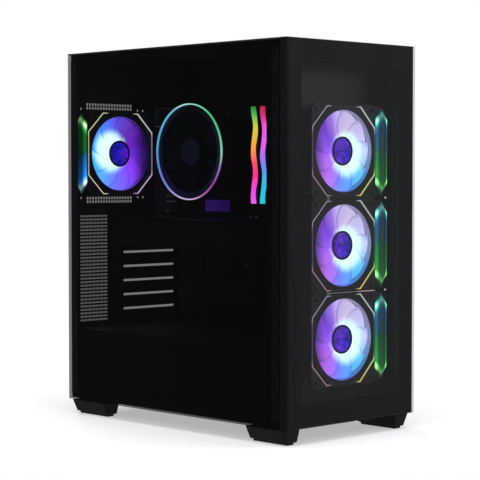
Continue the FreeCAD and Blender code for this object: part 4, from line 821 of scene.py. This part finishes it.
# Graphics card.
# A moulded shroud over an aluminium sink, two fans facing down, and a pressed back plate.
dress("graphics_card_board", board_lacquer)
dress("graphics_card_shroud", coated("card_shroud", (0.014, 0.014, 0.015), 0.42, 900.0, 0.00008))
dress("graphics_card_backplate", coated("brushed_backplate", (0.02, 0.02, 0.022), 0.34, 1200.0,
                                        0.00004, metallic=0.8))
dress("graphics_card_heat_sink", coated("card_fins", (0.3, 0.3, 0.31), 0.38, 2400.0, 0.00003,
                                        metallic=0.9))
bracket_metal = plated("bracket_metal", (0.16, 0.16, 0.165), 0.38)
dress("graphics_card_bracket", bracket_metal)
for number in (1, 2):
    node = "graphics_card_fan_%d" % number
    low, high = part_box(node)
    middle = (low + high) / 2
    rotor = bmesh.new()
    onto = Matrix.Translation((middle.x, middle.y, low.z + 0.0055)) @ Matrix.Rotation(pi, 4, "X")
    add_blades(rotor, 11, 0.0146, 0.0418, 2 * pi / 11, 0.0046, 0.34, 0.0009, onto)
    add_hub(rotor, (middle.x, middle.y, low.z), (0, 0, 1), 0.015, 0.0132, 0.0108, 0.002)
    make_piece("card_blades_%d" % number, rotor, [blade_black], "graphics_fan_%d" % number,
               "black_plastic", node)


# Power supply.
# A black steel box with its fan under a wire guard, a mains inlet and a rocker switch.
supply_coat = coated("supply_coat", (0.014, 0.014, 0.015), 0.5, 1300.0, 0.0001)
dress("power_supply_case", supply_coat)
dress("power_supply_fan_frame", coated("guard_wire", (0.03, 0.03, 0.032), 0.3, 1900.0, 0.00002,
                                       metallic=0.8))
dress("mains_inlet_and_switch_frame", socket_plastic)
low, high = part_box("power_supply_fan_rotor")
middle = (low + high) / 2
rotor = bmesh.new()
onto = Matrix.Translation((middle.x, middle.y, low.z + 0.0086)) @ Matrix.Rotation(pi, 4, "X")
add_blades(rotor, 7, 0.0178, 0.0556, 2 * pi / 7, 0.0072, 0.34, 0.0012, onto)
add_hub(rotor, (middle.x, middle.y, low.z), (0, 0, 1), 0.0185, 0.0165, 0.0168, 0.002)
make_piece("supply_blades", rotor, [blade_black], "supply_fan", "black_plastic",
           "power_supply_fan_rotor")
rocker_plastic = coated("rocker_plastic", (0.02, 0.02, 0.021), 0.28, 700.0, 0.00004)
dress("power_switch_rocker", rocker_plastic)


# Drives and filters.
# A hard drive in its cast case and a slim solid-state drive stand under the shroud.
# The filters are fine mesh in moulded frames that lift or slide out.
dress("storage_drives", coated("drive_casting", (0.32, 0.32, 0.33), 0.42, 1700.0, 0.0001,
                               metallic=0.85))
filter_plastic = coated("filter_plastic", (0.013, 0.013, 0.014), 0.55, 1100.0, 0.0001)
dress("top_filter", filter_plastic)
dress("bottom_filter", filter_plastic)


# Board power lead.
# Four sleeved cables from the board's header, combed side by side, that pass the tray's
# cut-out and drop behind it. Two straps hold them to the tray.
def sleeving(name):
    """Woven sleeving: two directions of fine, crossing threads."""
    made, nodes, links, shader = new_finish(name, {"Roughness": 0.7})
    place = add_node(nodes, "TexCoord")
    cross = add_node(nodes, "Math", operation="MULTIPLY")
    for way, lean in enumerate((pi / 4, -pi / 4)):
        lay = add_node(nodes, "Mapping", {"Rotation": (lean, lean, lean)})
        thread = add_node(nodes, "TexWave", {"Scale": 480.0})
        wire(links, (place, "Object", lay, "Vector"), (lay, "Vector", thread, "Vector"),
             (thread, "Fac", cross, way))
    tone = add_ramp(nodes, [(0.0, (0.004, 0.004, 0.004)), (1.0, (0.03, 0.03, 0.032))])
    rise = add_node(nodes, "Bump", {"Distance": 0.0002})
    wire(links, (cross, 0, tone, "Fac"), (tone, "Color", shader, "Base Color"),
         (cross, 0, rise, "Height"), (rise, "Normal", shader, "Normal"))
    return made


dress("board_power_lead", sleeving("black_sleeving"))
dress("cable_ties", coated("strap", (0.012, 0.012, 0.012), 0.6, 1500.0, 0.0001))


# Rear ports.
# A stamped shield with the sockets of the board behind it, and blue and black tongues.
dress("rear_ports_and_shield", plated("nickel_shield", (0.42, 0.42, 0.44), 0.34))
blue_insert = coated("blue_insert", (0.01, 0.05, 0.35), 0.4, 900.0, 0.00003)
black_insert = coated("black_insert", (0.014, 0.014, 0.014), 0.45, 900.0, 0.00003)
shield_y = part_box("rear_ports_and_shield")[1].y
tongues, darks = bmesh.new(), bmesh.new()
shield_height = 0.15875
base_z = board_high.z + 0.0015 - shield_height
right_x = board_face - 0.002
for start, tall, wide in ((0.008, 0.014, 0.017), (0.030, 0.032, 0.017), (0.068, 0.014, 0.031),
                          (0.088, 0.014, 0.031), (0.108, 0.016, 0.017), (0.132, 0.022, 0.036)):
    low_z, high_z = base_z + start, base_z + start + tall
    left_x = right_x - wide
    rows = 4 if tall > 0.03 else 2 if wide < 0.02 else 1
    for row in range(rows):
        z = low_z + (high_z - low_z) * (row + 0.5) / rows
        target = tongues if rows > 1 else darks
        add_block(target, (left_x + 0.0032, shield_y - 0.0105, z - 0.0009),
                  (right_x - 0.0032, shield_y - 0.0025, z + 0.0009), 0.0002, 1)
make_piece("blue_port_tongues", tongues, [blue_insert], "chassis", "black_plastic")
make_piece("black_port_tongues", darks, [black_insert], "chassis", "black_plastic")


# Top: trim, buttons and front ports.
# Black trim of painted steel, a power button with a fine lit ring, and nickel port shells.
dress("top_trim", coated("top_paint", (0.012, 0.012, 0.0125), 0.45, 1300.0, 0.0001))
dress("front_port_module", plated("port_shell", (0.5, 0.5, 0.52), 0.3))
button_plastic = coated("button_plastic", (0.016, 0.016, 0.017), 0.3, 500.0, 0.00003)
for node, body in (("power_button", "power_key"), ("reset_button", "reset_key")):
    low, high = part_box(node)
    middle = (low + high) / 2
    radius = 0.007 if node == "power_button" else 0.0035
    cap = bmesh.new()
    add_ring(cap, (middle.x, middle.y, low.z), (0, 0, 1),
             [(radius + 0.0013, 0.0001), (radius + 0.0013, 0.0014), (radius - 0.0001, 0.0014),
              (radius - 0.0001, high.z - low.z - 0.0004), (radius - 0.0005, high.z - low.z),
              (radius * 0.72, high.z - low.z), (radius * 0.60, high.z - low.z - 0.0004),
              (0.0, high.z - low.z - 0.0005), (0.0, 0.0001)], 48)
    make_piece(node + "_cap", cap, [button_plastic], body, "black_plastic", node)
low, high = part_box("power_button")
middle = (low + high) / 2
mark = bmesh.new()
add_ring(mark, (middle.x, middle.y, high.z), (0, 0, 1),
         [(0.0062, -0.0005), (0.0062, -0.00005), (0.0056, -0.00005), (0.0056, -0.0005)], 48)
cool_white = (0.7, 0.8, 1.0)
white_guide = ring_light("power_light", tuple(middle), "X", "Y",
                         [(0, cool_white), (360, cool_white)], 0.6)
make_piece("power_button_light", mark, [white_guide], "power_key", "light_guide")


# Right side panel.
# One pressed 1 mm steel sheet with folded edges, powder coated.
dress("right_side_panel", powder_coat)


# Feet.
# Moulded ABS with a rounded, tapered body; a rubber pad is glued under each.
foot_plastic = coated("foot_plastic", (0.007, 0.007, 0.0075), 0.5, 900.0, 0.00012, specular=0.25)
low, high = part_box("feet")
feet = bmesh.new()
for side in (-1, 1):
    for near, far in ((low.y, low.y + 0.070), (high.y - 0.070, high.y)):
        inner, outer = side * 0.089, side * 0.117
        left, right = min(inner, outer), max(inner, outer)
        before = set(feet.verts)
        add_block(feet, (left, near, low.z), (right, far, high.z - 0.002))
        made = [v for v in feet.verts if v not in before]
        for corner in made:
            if corner.co.z < low.z + 0.001:
                corner.co.y += 0.002 if corner.co.y < (near + far) / 2 else -0.002
                at_inner = abs(corner.co.x - inner) < 0.001
                corner.co.x += side * (0.003 if at_inner else -0.007)
        edges = list({e for v in made for e in v.link_edges})
        bmesh.ops.bevel(feet, geom=edges, offset=0.0016, segments=3, profile=0.5,
                        affect="EDGES", material=-1)
        boss_left, boss_right = sorted((side * 0.091, side * 0.1096))
        add_block(feet, (boss_left, near + 0.024, high.z - 0.003),
                  (boss_right, far - 0.024, high.z), 0.0003, 1)
make_piece("moulded_feet", feet, [foot_plastic], "chassis", "black_plastic", "feet")
rubber = coated("pad_rubber", (0.02, 0.02, 0.02), 0.85, 600.0, 0.0002, specular=0.3)
low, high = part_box("foot_pads")
pads = bmesh.new()
for side in (-1, 1):
    for near, far in ((low.y, low.y + 0.060), (high.y - 0.060, high.y)):
        left, right = sorted((side * 0.095, side * 0.107))
        add_block(pads, (left, near, low.z), (right, far, high.z), 0.0010, 2)
make_piece("rubber_pads", pads, [rubber], "chassis", "foot_rubber", "foot_pads")
